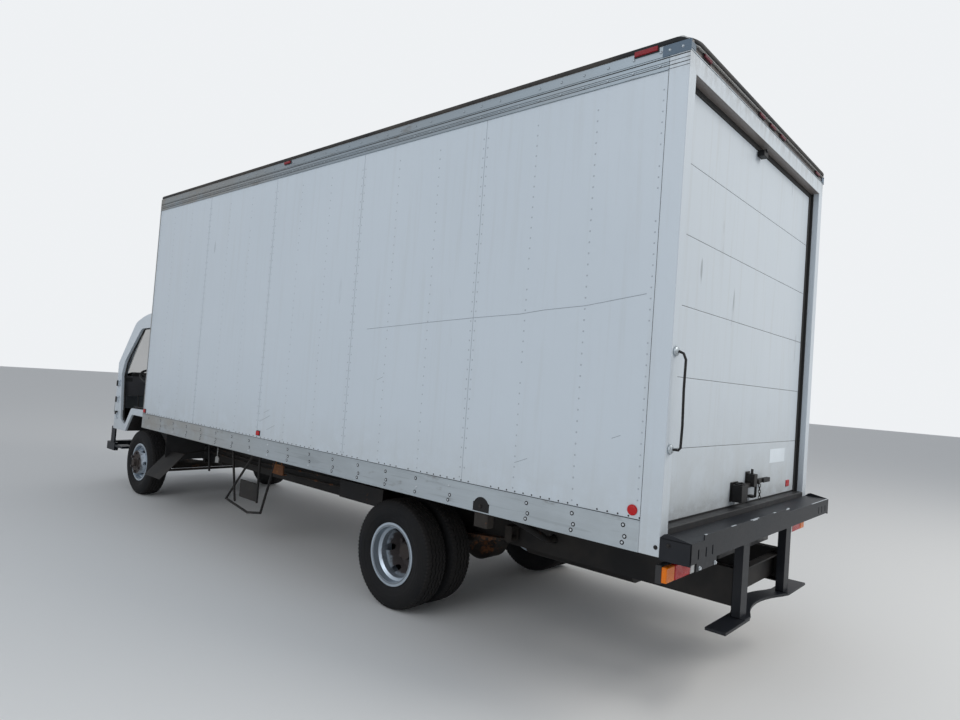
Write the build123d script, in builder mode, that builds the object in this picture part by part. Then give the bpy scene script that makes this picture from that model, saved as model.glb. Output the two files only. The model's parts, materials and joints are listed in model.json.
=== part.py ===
from build123d import *
import os
from math import cos, radians, sin

os.makedirs("parts", exist_ok=True)

# Box truck with a tilting cab over its engine. All sizes in millimetres.
# +X is the truck's left, -Y its front, +Z up. The ground is Z = 0.

# Overall layout
front_overhang = 1080
wheelbase = 4770
rear_overhang = 2268
overall_length = front_overhang + wheelbase + rear_overhang
front_y = -overall_length / 2
rear_y = overall_length / 2
front_axle_y = front_y + front_overhang
rear_axle_y = front_axle_y + wheelbase
face_gap = 0.3
moving_gap = 10

# Load body
body_length = 6200
body_width = 2440
bumper_depth = 160
body_rear_y = rear_y - bumper_depth
body_front_y = body_rear_y - body_length
half_body = body_width / 2
rail_bottom_z = 880
rail_top_z = 1035
floor_top_z = 1037
top_rail_bottom_z = 3299
top_rail_top_z = 3428
roof_top_z = 3457
rail_skin = 5
wall_lap = 90
wall_thickness = 32
wall_outer_x = half_body - rail_skin
wall_inner_x = wall_outer_x - wall_thickness
floor_thickness = 35
cross_sill_height = 100
cross_sill_width = 45
cross_sill_flange = 8
cross_sill_pitch = 406
long_sill_width = 70
front_wall_thickness = 40
corner_post_radius = 45
rail_bead = 3
rail_bead_height = 8
top_rail_ridges = (3302, 3333, 3375)
corner_cap_length = 150
corner_cap_height = 52
roof_overhang = 14
roof_corner_cut = 38

# Rear frame and roll-up door
post_width = 137
post_depth = 110
door_half_width = half_body - post_width
header_bottom_z = 3295
door_recess = 30
door_thickness = 22
door_panels = 6
door_panel_gap = 0.5
door_groove = 4
door_edge_gap = 8
door_bottom_seal = 12
door_top_seal = 46
seal_front_inset = 4
seal_rear_inset = 6
grab_x = half_body - 115
grab_bottom_z = 1370
grab_top_z = 1880
grab_reach = 60
grab_radius = 7
grab_boss_radius = 24
grab_boss_length = 12

# Ladder frame
frame_half_width = 425
frame_bottom_z = 505
frame_height = 210
frame_top_z = frame_bottom_z + frame_height
frame_flange = 65
frame_wall = 8
frame_front_y = front_y + 230
frame_rear_y = body_rear_y + 75

# Wheels
tyre_radius = 386
tyre_width = 215
rim_radius = 203
rim_flange_radius = 222
rim_half_width = 84
rim_metal = 8
disc_offset = 125
disc_metal = 12
disc_flat_radius = 138
hub_radius = 66
hand_holes = 6
hand_hole_radius = 17
hand_hole_circle = 162
wheel_studs = 6
stud_circle = 111
nut_radius = 16
nut_height = 24
drum_radius = 160
drum_start = 60
drum_end = 50
hub_cap_radius = 46
hub_cap_length = 40
front_track = 1675
dual_track = 1655
front_wheel_x = front_track / 2
dual_x = dual_track / 2
rear_outer_x = dual_x + disc_offset
rear_inner_x = dual_x - disc_offset

# Axles, springs and steering
kingpin_offset = 147.5
kingpin_x = front_wheel_x - kingpin_offset
kingpin_eye_radius = 36
kingpin_eye_height = 84
knuckle_ear = 26
knuckle_web_x = kingpin_x + 55
knuckle_web = 24
spindle_radius = 28
front_beam_z = 330
front_beam_height = 74
front_beam_width = 86
rear_tube_radius = 52
rear_bowl_radius = 175
front_spring_x = frame_half_width - 28
rear_spring_x = frame_half_width + 58
spring_width = 70
leaf_thickness = 10
steer_arm_y = front_axle_y + 185
steer_arm_width = 30
steer_arm_height = 20
tie_rod_radius = 15
tie_eye_radius = 22
tie_eye_height = 36

# Step bumper
bumper_top_z = 978
bumper_face_height = 100
bumper_plate = 6
bumper_end_height = 150
bumper_end_width = 330
bumper_peak_z = 1000
bumper_peak_y = 35
bumper_peak_radius = 14
bumper_lip = (-270, 1070)
bumper_lip_height = 25
bumper_slots_x = (964, 1043, 1134)
bumper_slot_width = 12
bumper_slot_z = (895, 941)
bumper_post_x = frame_half_width + 43
bumper_post_width = 86
bumper_post_depth = 120
step_z = 450
step_half_length = 720
step_depth = 112
step_bow = 80
step_plate = 10

# Cab
cab_width = 1990
cab_half = cab_width / 2
cab_skin = 34
cab_rear_y = front_y + 1664
cab_pivot_y = front_y + 205
cab_pivot_z = 700
cab_pin_radius = 14
cab_floor_z = 725
cab_rear_floor_z = 945
cab_roof_z = 2215
belt_z = 1440
cab_lean = 105
glass_thickness = 6
glass_inset = 10
glass_gap = 0.4
cab_hoop_y = front_y + 1570
door_lip = 8
lamp_proud = 8
hinge_x = cab_half + 9
hinge_y = front_y + 455
hinge_radius = 9
hinge_half_height = 36
hinge_leaf = 135
hinge_heights = (892, 1100, 1308)
roof_split_z = 2045
windscreen_bottom_z = 1400
windscreen_corner = 70
front_split_y = front_y + 390
back_split_y = cab_rear_y - 90
side_split_x = 850
pillar_split_z = 1200
grille_half = 500
grille_bottom_z = 905
grille_slots = 6
grille_slot_height = 18
grille_pitch = 36
grille_depth = 14
step_plate_z = (480, 508)
step_plate_x = (800, cab_half - 5)
step_plate_length = 230

# Fuel filler
filler_y = body_rear_y - 1145
filler_radius = 52
filler_z = rail_bottom_z + 25
hose_radius = 24
hose_z = 620


def block(x, y, z, mode=Mode.ADD):
    """A box between two limits on each axis."""
    with Locations(((x[0] + x[1]) / 2, (y[0] + y[1]) / 2, (z[0] + z[1]) / 2)):
        Box(x[1] - x[0], y[1] - y[0], z[1] - z[0], mode=mode)


def rod(start, end, radius, mode=Mode.ADD):
    """A round bar from one point to another."""
    run = Vector(*end) - Vector(*start)
    with Locations(Plane(origin=start, z_dir=run)):
        Cylinder(radius, run.length, align=(Align.CENTER, Align.CENTER, Align.MIN), mode=mode)


def across(y):
    """A plane across the truck at y, with X to the right and Z up in the sketch."""
    return Plane(origin=(0, y, 0), x_dir=(1, 0, 0), z_dir=(0, -1, 0))


# Ladder frame: two channels joined by cross members
cross_members = (
    # distance along the frame from its front end, depth of the member
    (60, 90), (2500, 90), (3300, 90), (4250, 90), (5220, 90), (6120, 90), (7200, 90), (7760, 150),
)
member_drop = 30
member_flange = 50
lug_reach = 26
lug_bottom_z = frame_bottom_z + 100
lug_top_z = cab_pivot_z - 8
pin_length = 125
hoop_width = 60
hoop_top_z = cab_rear_floor_z - face_gap
with BuildPart() as frame:
    with BuildSketch(across(frame_front_y)):
        for side in (1, -1):
            inner_x = frame_half_width - frame_flange
            with Locations((side * (frame_half_width + inner_x) / 2, frame_bottom_z + frame_height / 2)):
                Rectangle(frame_flange, frame_height)
            with Locations((side * (inner_x + frame_half_width - frame_wall) / 2,
                            frame_bottom_z + frame_height / 2)):
                Rectangle(frame_flange - frame_wall, frame_height - 2 * frame_wall, mode=Mode.SUBTRACT)
    extrude(amount=-(frame_rear_y - frame_front_y))
    for distance, depth in cross_members:
        y = frame_front_y + distance
        web_x = frame_half_width - frame_wall - face_gap
        member_top_z = frame_top_z - member_drop
        block((-web_x, web_x), (y, y + frame_wall), (member_top_z - depth, member_top_z))
        block((-web_x + frame_flange, web_x - frame_flange), (y, y + member_flange),
              (member_top_z - frame_wall, member_top_z))
    # Cab pivot lugs with their pins, and the hoop that carries the back of the cab
    for side in (1, -1):
        lug_x = (side * (frame_half_width - frame_flange), side * (frame_half_width - frame_wall))
        block(sorted(lug_x), (cab_pivot_y - lug_reach, frame_front_y - face_gap), (lug_bottom_z, lug_top_z))
        rod((side * (frame_half_width - pin_length), cab_pivot_y, cab_pivot_z),
            (side * (frame_half_width - frame_wall), cab_pivot_y, cab_pivot_z), cab_pin_radius)
        block(sorted(lug_x), (cab_hoop_y, cab_hoop_y + hoop_width), (frame_top_z + face_gap, hoop_top_z))
    block((-frame_half_width + frame_flange, frame_half_width - frame_flange),
          (cab_hoop_y, cab_hoop_y + hoop_width), (hoop_top_z - hoop_width, hoop_top_z))
    # Hole in the left rail for the filler hose
    rod((frame_half_width - 60, filler_y, hose_z), (frame_half_width + 10, filler_y, hose_z), hose_radius + 8,
        mode=Mode.SUBTRACT)

# Front axle: a dropped beam between two kingpin eyes
with BuildPart() as front_axle:
    with BuildSketch(Plane.XZ.offset(-front_axle_y)):
        with BuildLine():
            beam_top = front_beam_z + front_beam_height / 2
            beam_bottom = front_beam_z - front_beam_height / 2
            lift = tyre_radius - front_beam_z
            Polyline(
                (-kingpin_x, beam_top + lift - 8), (-kingpin_x + 150, beam_top), (kingpin_x - 150, beam_top),
                (kingpin_x, beam_top + lift - 8), (kingpin_x, beam_bottom + lift + 8),
                (kingpin_x - 150, beam_bottom), (-kingpin_x + 150, beam_bottom),
                (-kingpin_x, beam_bottom + lift + 8), close=True)
        make_face()
    extrude(amount=front_beam_width / 2, both=True)
    for side in (1, -1):
        with Locations((side * kingpin_x, front_axle_y, tyre_radius)):
            Cylinder(kingpin_eye_radius + 30, kingpin_eye_height + 60, mode=Mode.SUBTRACT)
        rod((side * (kingpin_x - 80), front_axle_y, tyre_radius), (side * kingpin_x, front_axle_y, tyre_radius), 30)
        with Locations((side * kingpin_x, front_axle_y, tyre_radius)):
            Cylinder(kingpin_eye_radius, kingpin_eye_height)

# Rear axle: a banjo housing with a nose for the propeller shaft
rear_tube_end = rear_inner_x - drum_start + 50
with BuildPart() as rear_axle:
    with BuildSketch(Plane.XZ.offset(-rear_axle_y)):
        with BuildLine():
            Polyline((-rear_tube_end, tyre_radius), (-rear_tube_end, tyre_radius + rear_tube_radius),
                     (-rear_bowl_radius - 120, tyre_radius + rear_tube_radius),
                     (-rear_bowl_radius / 2, tyre_radius + rear_bowl_radius),
                     (rear_bowl_radius / 2, tyre_radius + rear_bowl_radius),
                     (rear_bowl_radius + 120, tyre_radius + rear_tube_radius),
                     (rear_tube_end, tyre_radius + rear_tube_radius), (rear_tube_end, tyre_radius), close=True)
        make_face()
    revolve(axis=Axis((0, rear_axle_y, tyre_radius), (1, 0, 0)))
    rod((0, rear_axle_y - 330, tyre_radius + 15), (0, rear_axle_y - 100, tyre_radius), 80)
    rod((0, rear_axle_y - 370, tyre_radius + 15), (0, rear_axle_y - 320, tyre_radius + 15), 55)

# Leaf springs with their seats and hangers, one pack at each end of each axle
spring_rows = (
    # axle y, pack x, seat z, eye z, eye distance ahead and behind, leaves, hanger top z
    (front_axle_y, front_spring_x, front_beam_z + front_beam_height / 2, 465, 610, 640, 4, frame_bottom_z),
    (rear_axle_y, rear_spring_x, tyre_radius + rear_tube_radius, 560, 620, 640, 7, frame_top_z - 60),
)
seat_height = 12
eye_radius = 22
hanger_plate = 6
with BuildPart() as leaf_springs:
    for axle_y, pack_x, seat_z, eye_z, ahead, behind, leaves, hanger_top_z in spring_rows:
        pack_bottom_z = seat_z + seat_height
        main_z = pack_bottom_z + leaves * leaf_thickness
        sag = eye_z - main_z
        radius = (ahead * ahead + sag * sag) / (2 * sag)
        centre_z = main_z + radius
        for side in (1, -1):
            x0 = side * pack_x - spring_width / 2
            x1 = x0 + spring_width
            for leaf in range(leaves):
                reach = 1 - leaf / (leaves + 1)
                outer_radius = radius + (leaf + 1) * leaf_thickness
                with BuildSketch(Plane.YZ.offset(x0)):
                    with Locations((axle_y, centre_z)):
                        Circle(outer_radius)
                        Circle(outer_radius - leaf_thickness, mode=Mode.SUBTRACT)
                    with Locations((axle_y + (behind - ahead) * reach / 2, seat_z + 100)):
                        Rectangle((ahead + behind) * reach, 400, mode=Mode.INTERSECT)
                extrude(amount=spring_width)
            block((x0, x1), (axle_y - 60, axle_y + 60), (seat_z + face_gap, pack_bottom_z + leaf_thickness / 2))
            for end_y in (axle_y - ahead, axle_y + behind):
                rod((x0 - hanger_plate, end_y, eye_z), (x1 + hanger_plate, end_y, eye_z), eye_radius)
                for plate_x in (x0 - hanger_plate, x1):
                    block((plate_x, plate_x + hanger_plate), (end_y - 30, end_y + 30),
                          (eye_z - 12, hanger_top_z - face_gap))
            if pack_x > frame_half_width:
                for end_y in (axle_y - ahead, axle_y + behind):
                    foot_x = (side * (frame_half_width + face_gap), side * (pack_x + spring_width / 2 + hanger_plate))
                    block(sorted(foot_x), (end_y - 30, end_y + 30), (hanger_top_z - 20, hanger_top_z))

# Engine and gearbox as one plain mass, and the propeller shaft behind it
engine_front_y = front_axle_y - 150
engine_length = 620
engine_half_width = 250
engine_bottom_z = 500
engine_top_z = 925
gearbox_length = 620
gearbox_z = 570
with BuildPart() as engine_block:
    block((-engine_half_width, engine_half_width), (engine_front_y, engine_front_y + engine_length),
          (engine_bottom_z, engine_top_z))
    rod((0, engine_front_y + engine_length, gearbox_z),
        (0, engine_front_y + engine_length + gearbox_length, gearbox_z), 120)

shaft_front_y = engine_front_y + engine_length + gearbox_length + face_gap
shaft_rear_y = rear_axle_y - 370 - face_gap
shaft_middle_y = (shaft_front_y + shaft_rear_y) / 2
shaft_middle_z = 500
shaft_radius = 40
pinion_z = tyre_radius + 15
with BuildPart() as driveshaft:
    rod((0, shaft_front_y, gearbox_z), (0, shaft_front_y + 60, gearbox_z), 58)
    rod((0, shaft_front_y + 50, gearbox_z), (0, shaft_middle_y, shaft_middle_z), shaft_radius)
    rod((0, shaft_middle_y - 40, shaft_middle_z), (0, shaft_middle_y + 40, shaft_middle_z), 62)
    rod((0, shaft_middle_y, shaft_middle_z), (0, shaft_rear_y - 50, pinion_z), shaft_radius)
    rod((0, shaft_rear_y - 60, pinion_z), (0, shaft_rear_y, pinion_z), 58)

# Fuel tank between the frame rails, with its neck and the cap in the left bottom rail
tank_front_y = rear_axle_y + 640
tank_length = 860
tank_half_width = 300
tank_height = 270
with BuildPart() as fuel_tank:
    with BuildSketch(across(tank_front_y)):
        with Locations((0, frame_top_z - 20 - tank_height / 2)):
            RectangleRounded(2 * tank_half_width, tank_height, 60)
    extrude(amount=-tank_length)
    for strap_y in (tank_front_y + 100, tank_front_y + tank_length - 140):
        strap_half = frame_half_width - frame_wall - face_gap
        block((-strap_half, strap_half), (strap_y, strap_y + 40), (frame_top_z - 26, frame_top_z - frame_wall - face_gap))
    elbow = (frame_half_width + 70, filler_y, hose_z)
    rod((tank_half_width - 10, filler_y, hose_z), elbow, hose_radius)
    with Locations(elbow):
        Sphere(hose_radius)
    rod(elbow, (half_body - 130, filler_y, filler_z), hose_radius)
    rod((half_body - 150, filler_y, filler_z), (half_body - 12, filler_y, filler_z), filler_radius)

# Exhaust: silencer and tail pipe along the right rail
with BuildPart() as exhaust:
    exhaust_x = -frame_half_width - 150
    exhaust_y = front_axle_y + 1750
    rod((exhaust_x, exhaust_y, 560), (exhaust_x, exhaust_y + 760, 560), 110)
    rod((exhaust_x, exhaust_y - 900, 600), (exhaust_x, exhaust_y + 10, 560), 32)
    rod((exhaust_x, exhaust_y + 750, 560), (exhaust_x - 420, exhaust_y + 1100, 470), 32)
    for hanger_y in (exhaust_y + 80, exhaust_y + 640):
        block((exhaust_x, -frame_half_width - face_gap), (hanger_y, hanger_y + 40), (640, 660))

# Under-body hardware on the left: an empty tank cradle, a box on the frame rail and a loose splash panel
sill_top_z = floor_top_z - floor_thickness
sill_bottom_z = sill_top_z - cross_sill_height
cradle_x = 950
cradle_bar_radius = 11
cradle_rail_z = (sill_bottom_z - 16, sill_bottom_z - face_gap)
cradle_top_z = cradle_rail_z[0] + 4
cradle_bars = (
    # start y and z, end y and z
    (-260, cradle_top_z, -781, 330), (-736, cradle_top_z, -611, 340), (82, cradle_top_z, -131, 309),
    (-211, cradle_top_z, -211, 394), (-1220, cradle_top_z, -1171, 550), (-781, 330, -361, 271), (-361, 271, -131, 309),
)
cradle_plate_y = (-531, -200)
cradle_plate_z = (394, 559)
side_box = ((540, 760), (770, 1330), (600, 745))
side_box_bracket = ((frame_half_width + face_gap, 541), (790, 1100), (frame_top_z - 65, frame_top_z - 3))
splash_panel_y = (-2360, -1960)
splash_panel_top = (850, 600)
splash_panel_bottom = (1100, 340)
splash_panel_thickness = 5
splash_strap_radius = 8
splash_strap_z = frame_top_z - 60
with BuildPart() as under_hardware:
    block((cradle_x - 22, cradle_x + 22), (-1250, 120), cradle_rail_z)
    for start_y, start_z, end_y, end_z in cradle_bars:
        rod((cradle_x, start_y, start_z), (cradle_x, end_y, end_z), cradle_bar_radius)
        with Locations((cradle_x, end_y, end_z)):
            Sphere(cradle_bar_radius)
    block((cradle_x - 4, cradle_x + 4), cradle_plate_y, cradle_plate_z)
    block(*side_box)
    block(*side_box_bracket)
    with BuildSketch(across(splash_panel_y[0])):
        with BuildLine():
            Polyline(splash_panel_top, splash_panel_bottom,
                     (splash_panel_bottom[0] + splash_panel_thickness, splash_panel_bottom[1] + splash_panel_thickness),
                     (splash_panel_top[0] + splash_panel_thickness, splash_panel_top[1] + splash_panel_thickness),
                     close=True)
        make_face()
    extrude(amount=-(splash_panel_y[1] - splash_panel_y[0]))
    for strap_y in (splash_panel_y[0] + 60, splash_panel_y[1] - 60):
        rod((frame_half_width + 2 * splash_strap_radius, strap_y, splash_strap_z),
            (splash_panel_top[0] + 4, strap_y, splash_panel_top[1]), splash_strap_radius)
        block((frame_half_width + face_gap, frame_half_width + 3 * splash_strap_radius), (strap_y - 20, strap_y + 20),
              (splash_strap_z - 25, splash_strap_z + 25))

# Load floor on cross sills and two long sills
floor_half = wall_inner_x
long_sill_x = frame_half_width - 30
with BuildPart() as floor_sills:
    for side in (1, -1):
        sill_x = (side * long_sill_x - long_sill_width / 2, side * long_sill_x + long_sill_width / 2)
        block(sill_x, (body_front_y + 60, body_rear_y - post_depth), (frame_top_z, sill_bottom_z - face_gap))
    sill_count = int((body_length - 300) // cross_sill_pitch) + 1
    for index in range(sill_count):
        y = body_front_y + 80 + index * cross_sill_pitch
        block((-floor_half, floor_half), (y, y + cross_sill_flange), (sill_bottom_z, sill_top_z))
        block((-floor_half, floor_half), (y, y + cross_sill_width), (sill_bottom_z, sill_bottom_z + cross_sill_flange))
        block((-floor_half, floor_half), (y, y + cross_sill_width), (sill_top_z - cross_sill_flange, sill_top_z))

with BuildPart() as load_floor:
    block((-floor_half, floor_half), (body_front_y + corner_post_radius, body_rear_y - post_depth),
          (sill_top_z, floor_top_z))

# Walls of the load body: two sides and the front
wall_bottom_z = rail_bottom_z + wall_lap
wall_top_z = top_rail_top_z - 8
with BuildPart() as body_walls:
    for side in (1, -1):
        block(sorted((side * wall_inner_x, side * wall_outer_x)),
              (body_front_y + corner_post_radius, body_rear_y - post_depth), (wall_bottom_z, wall_top_z))
    block((-half_body + corner_post_radius, half_body - corner_post_radius),
          (body_front_y, body_front_y + front_wall_thickness), (rail_bottom_z, wall_top_z))

# Aluminium extrusions round the body: bottom rails, top rails and front corner posts
with BuildPart() as body_rails:
    for side in (1, -1):
        x_outer, x_skin = side * half_body, side * wall_outer_x
        rail_y = (body_front_y + corner_post_radius, body_rear_y - post_depth)
        block(sorted((x_outer, x_skin)), rail_y, (rail_bottom_z, rail_top_z))
        block(sorted((x_skin, side * (wall_inner_x - 8))), rail_y, (rail_bottom_z, rail_bottom_z + 6))
        block(sorted((x_outer, x_skin)), rail_y, (top_rail_bottom_z, top_rail_top_z))
        for bead_z in (rail_bottom_z + rail_bead_height / 2, rail_top_z - rail_bead_height / 2) + top_rail_ridges:
            block(sorted((x_outer, side * (half_body + rail_bead))), rail_y,
                  (bead_z - rail_bead_height / 2 + 1, bead_z + rail_bead_height / 2 - 1))
        block(sorted((side * (half_body + face_gap), side * (half_body + rail_bead))),
              (body_rear_y - corner_cap_length, body_rear_y),
              (top_rail_top_z - 4 - corner_cap_height, top_rail_top_z - 4))
    filler_box = (filler_y - 64, filler_y + 64)
    block((half_body - 60, half_body + 1), filler_box, (rail_bottom_z - 1, rail_bottom_z + 60), mode=Mode.SUBTRACT)
    for side in (1, -1):
        with BuildSketch():
            with BuildLine():
                centre_x = side * (half_body - corner_post_radius)
                centre_y = body_front_y + corner_post_radius
                Line((centre_x, centre_y), (centre_x + side * corner_post_radius, centre_y))
                ThreePointArc(
                    (centre_x + side * corner_post_radius, centre_y),
                    (centre_x + side * corner_post_radius * sin(radians(45)), centre_y - corner_post_radius * cos(radians(45))),
                    (centre_x, centre_y - corner_post_radius))
                Line((centre_x, centre_y - corner_post_radius), (centre_x, centre_y))
            make_face()
    extrude(amount=top_rail_top_z)
    block((-half_body - 1, half_body + 1), (body_front_y - 1, body_front_y + corner_post_radius + 1),
          (-1, rail_bottom_z), mode=Mode.SUBTRACT)

# Roof: a shallow arch over an upright edge, with its corners cut in plan
roof_crown = 10
with BuildPart() as roof:
    with BuildSketch(across(body_front_y)):
        with BuildLine():
            Polyline((-half_body, roof_top_z), (-half_body, top_rail_top_z), (half_body, top_rail_top_z),
                     (half_body, roof_top_z))
            ThreePointArc((half_body, roof_top_z), (0, roof_top_z + roof_crown), (-half_body, roof_top_z))
        make_face()
    extrude(amount=-(body_length + roof_overhang))
    with BuildSketch(Plane.XY.offset(top_rail_top_z - 1)):
        with Locations((0, body_front_y + (body_length + roof_overhang) / 2)):
            roof_plan = Rectangle(body_width, body_length + roof_overhang)
        chamfer(roof_plan.vertices(), roof_corner_cut)
    extrude(amount=roof_top_z, mode=Mode.INTERSECT)

# Rear frame: posts, header and sill round the door opening
with BuildPart() as rear_frame:
    with BuildSketch(across(body_rear_y - post_depth)):
        with Locations((0, (rail_bottom_z + top_rail_top_z) / 2)):
            Rectangle(body_width, top_rail_top_z - rail_bottom_z)
        with Locations((0, (floor_top_z + header_bottom_z) / 2)):
            Rectangle(2 * door_half_width, header_bottom_z - floor_top_z, mode=Mode.SUBTRACT)
    extrude(amount=-post_depth)

# Roll-up door: flat panels with a seal along the top and the bottom
door_rear_y = body_rear_y - door_recess
door_bottom_z = floor_top_z + door_bottom_seal
panel_pitch = (header_bottom_z - door_top_seal - door_bottom_z) / door_panels
with BuildPart() as roll_door:
    for index in range(door_panels):
        low = door_bottom_z + index * panel_pitch
        block((-door_half_width + door_edge_gap, door_half_width - door_edge_gap),
              (door_rear_y - door_thickness, door_rear_y), (low, low + panel_pitch - door_panel_gap))
    chamfer(roll_door.edges().filter_by(Axis.X).group_by(Axis.Y)[-1], door_groove)

# Door hardware: black seals all round the door, the lock and its latch bar, and the grab handle on the left post
seal_y = (door_rear_y - door_thickness + seal_front_inset, door_rear_y - seal_rear_inset)
lock_pieces = (
    # x from and to, distance behind the door, z from and to
    (215, 315, 80, 1045, 1165), (-110, 50, 35, 1118, 1213), (-385, -110, 28, 1137, 1170),
)
with BuildPart() as door_hardware:
    block((-door_half_width + door_edge_gap, door_half_width - door_edge_gap), seal_y,
          (floor_top_z + face_gap, door_bottom_z - face_gap))
    block((-door_half_width + door_edge_gap, door_half_width - door_edge_gap), seal_y,
          (header_bottom_z - door_top_seal, header_bottom_z - face_gap))
    for side in (1, -1):
        block(sorted((side * (door_half_width - door_edge_gap + face_gap), side * (door_half_width - face_gap))), seal_y,
              (floor_top_z + face_gap, header_bottom_z - face_gap))
    for x_from, x_to, reach, z_from, z_to in lock_pieces:
        block((x_from, x_to), (door_rear_y + face_gap, door_rear_y + reach), (z_from, z_to))
    for end_z in (grab_bottom_z, grab_top_z):
        rod((grab_x, body_rear_y + face_gap, end_z), (grab_x, body_rear_y + grab_reach, end_z), grab_radius)
        rod((grab_x, body_rear_y + face_gap, end_z), (grab_x, body_rear_y + grab_boss_length, end_z), grab_boss_radius)
        with Locations((grab_x, body_rear_y + grab_reach, end_z)):
            Sphere(grab_radius)
    rod((grab_x, body_rear_y + grab_reach, grab_bottom_z), (grab_x, body_rear_y + grab_reach, grab_top_z), grab_radius)

# Lamps and reflectors on the body
side_lamps = (
    # y ahead of the rear corner, z, length, height, distance from the centre line
    (240, 3424, 140, 34, half_body), (3600, 3412, 100, 28, half_body),
    (3723, 1079, 56, 44, wall_outer_x), (6120, 1066, 56, 44, wall_outer_x), (156, 1080, 50, 50, wall_outer_x),
)
header_lamps_x = (-1030, -200, 0, 200, 1030)
header_lamp_z = 3408
header_lamp_size = (100, 28)
lamp_depth = 14
with BuildPart() as marker_lamps:
    for side in (1, -1):
        for ahead, lamp_z, length, height, lamp_x in side_lamps:
            lamp_y = body_rear_y - ahead
            block(sorted((side * (lamp_x + face_gap), side * (lamp_x + lamp_depth))),
                  (lamp_y - length / 2, lamp_y + length / 2), (lamp_z - height / 2, lamp_z + height / 2))
    for lamp_x in header_lamps_x:
        block((lamp_x - header_lamp_size[0] / 2, lamp_x + header_lamp_size[0] / 2),
              (body_rear_y + face_gap, body_rear_y + lamp_depth),
              (header_lamp_z - header_lamp_size[1] / 2, header_lamp_z + header_lamp_size[1] / 2))

# Step bumper: deck, face channel, posts and the bowed lower step
bumper_front_y = body_rear_y + face_gap
with BuildPart() as step_bumper:
    block((-half_body, half_body), (bumper_front_y, rear_y), (bumper_top_z - bumper_plate, bumper_top_z))
    block((-half_body, half_body), (rear_y - bumper_plate, rear_y), (bumper_top_z - bumper_face_height, bumper_top_z))
    block(bumper_lip, (rear_y - bumper_plate, rear_y), (bumper_top_z, bumper_top_z + bumper_lip_height))
    for side in (1, -1):
        end_x = sorted((side * half_body, side * (half_body - bumper_plate)))
        with BuildSketch(Plane.YZ.offset(end_x[0])) as end_plate:
            with BuildLine():
                Polyline((bumper_front_y, bumper_top_z - bumper_end_height), (bumper_front_y, bumper_top_z),
                         (bumper_front_y + bumper_peak_y, bumper_peak_z), (rear_y, bumper_top_z),
                         (rear_y, bumper_top_z - bumper_end_height), close=True)
            make_face()
            fillet(end_plate.vertices().group_by(Axis.Y)[-1], bumper_peak_radius)
        extrude(amount=bumper_plate)
        block(sorted((side * half_body, side * (half_body - bumper_end_width))), (rear_y - bumper_plate, rear_y),
              (bumper_top_z - bumper_end_height, bumper_top_z))
        for slot_x in bumper_slots_x:
            block((side * slot_x - bumper_slot_width / 2, side * slot_x + bumper_slot_width / 2),
                  (rear_y - 2 * bumper_plate, rear_y + bumper_plate), bumper_slot_z, mode=Mode.SUBTRACT)
        x0 = side * bumper_post_x
        block((x0 - bumper_post_width / 2, x0 + bumper_post_width / 2),
              (rear_y - bumper_post_depth, rear_y - bumper_plate), (step_z - step_plate, bumper_top_z - bumper_plate))
        inner_x, outer_x = side * (bumper_post_x - bumper_post_width / 2), side * step_half_length
        block(sorted((inner_x, outer_x)), (rear_y - step_depth, rear_y), (step_z - step_plate, step_z))
    with BuildSketch(Plane.XY.offset(step_z - step_plate)):
        with BuildLine():
            bow_x = bumper_post_x - bumper_post_width / 2
            ThreePointArc((-bow_x, rear_y), (0, rear_y - step_bow), (bow_x, rear_y))
            Line((bow_x, rear_y), (bow_x, rear_y - step_depth))
            ThreePointArc((bow_x, rear_y - step_depth), (0, rear_y - step_depth - step_bow),
                          (-bow_x, rear_y - step_depth))
            Line((-bow_x, rear_y - step_depth), (-bow_x, rear_y))
        make_face()
    extrude(amount=step_plate)

with BuildPart() as tail_lamps:
    for side in (1, -1):
        block(sorted((side * 800, side * 1160)), (body_rear_y + 2, body_rear_y + 60), (738, 834))
        block(sorted((side * 960, side * 1000)), (body_rear_y + 10, body_rear_y + 50), (834, bumper_top_z - bumper_plate - face_gap))

with BuildPart() as front_bumper:
    with BuildSketch(Plane.XY.offset(430)):
        with BuildLine():
            FilletPolyline((-cab_half, front_y + 330), (-cab_half, front_y + 60), (-cab_half + 260, front_y),
                           (cab_half - 260, front_y), (cab_half, front_y + 60), (cab_half, front_y + 330),
                           (cab_half - 60, front_y + 330), (cab_half - 60, front_y + 110),
                           (-cab_half + 60, front_y + 110), (-cab_half + 60, front_y + 330), radius=20, close=True)
        make_face()
    extrude(amount=170)
    for side in (1, -1):
        block(sorted((side * 330, side * (frame_half_width - 1))), (front_y + 100, frame_front_y), (520, 590))
        block(sorted((side * step_plate_x[0], side * step_plate_x[1])),
              (front_y + 325, front_y + 330 + step_plate_length), step_plate_z)
        block(sorted((side * (step_plate_x[1] - 12), side * step_plate_x[1])),
              (front_y + 325, front_y + 330 + step_plate_length), (step_plate_z[0] - 40, step_plate_z[0]))

# Cab. The side outline has its corner radii beside the points.
cab_side = (
    # y from the front, z, corner radius
    (1664, cab_rear_floor_z, 20), (1664, cab_roof_z, 70), (900, cab_roof_z, 200), (560, 2090, 160), (240, 1440, 120),
    (130, 1180, 160), (115, 900, 60), (170, cab_floor_z, 40), (735, cab_floor_z, 30),
    (900, cab_rear_floor_z, 60),
)


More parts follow.
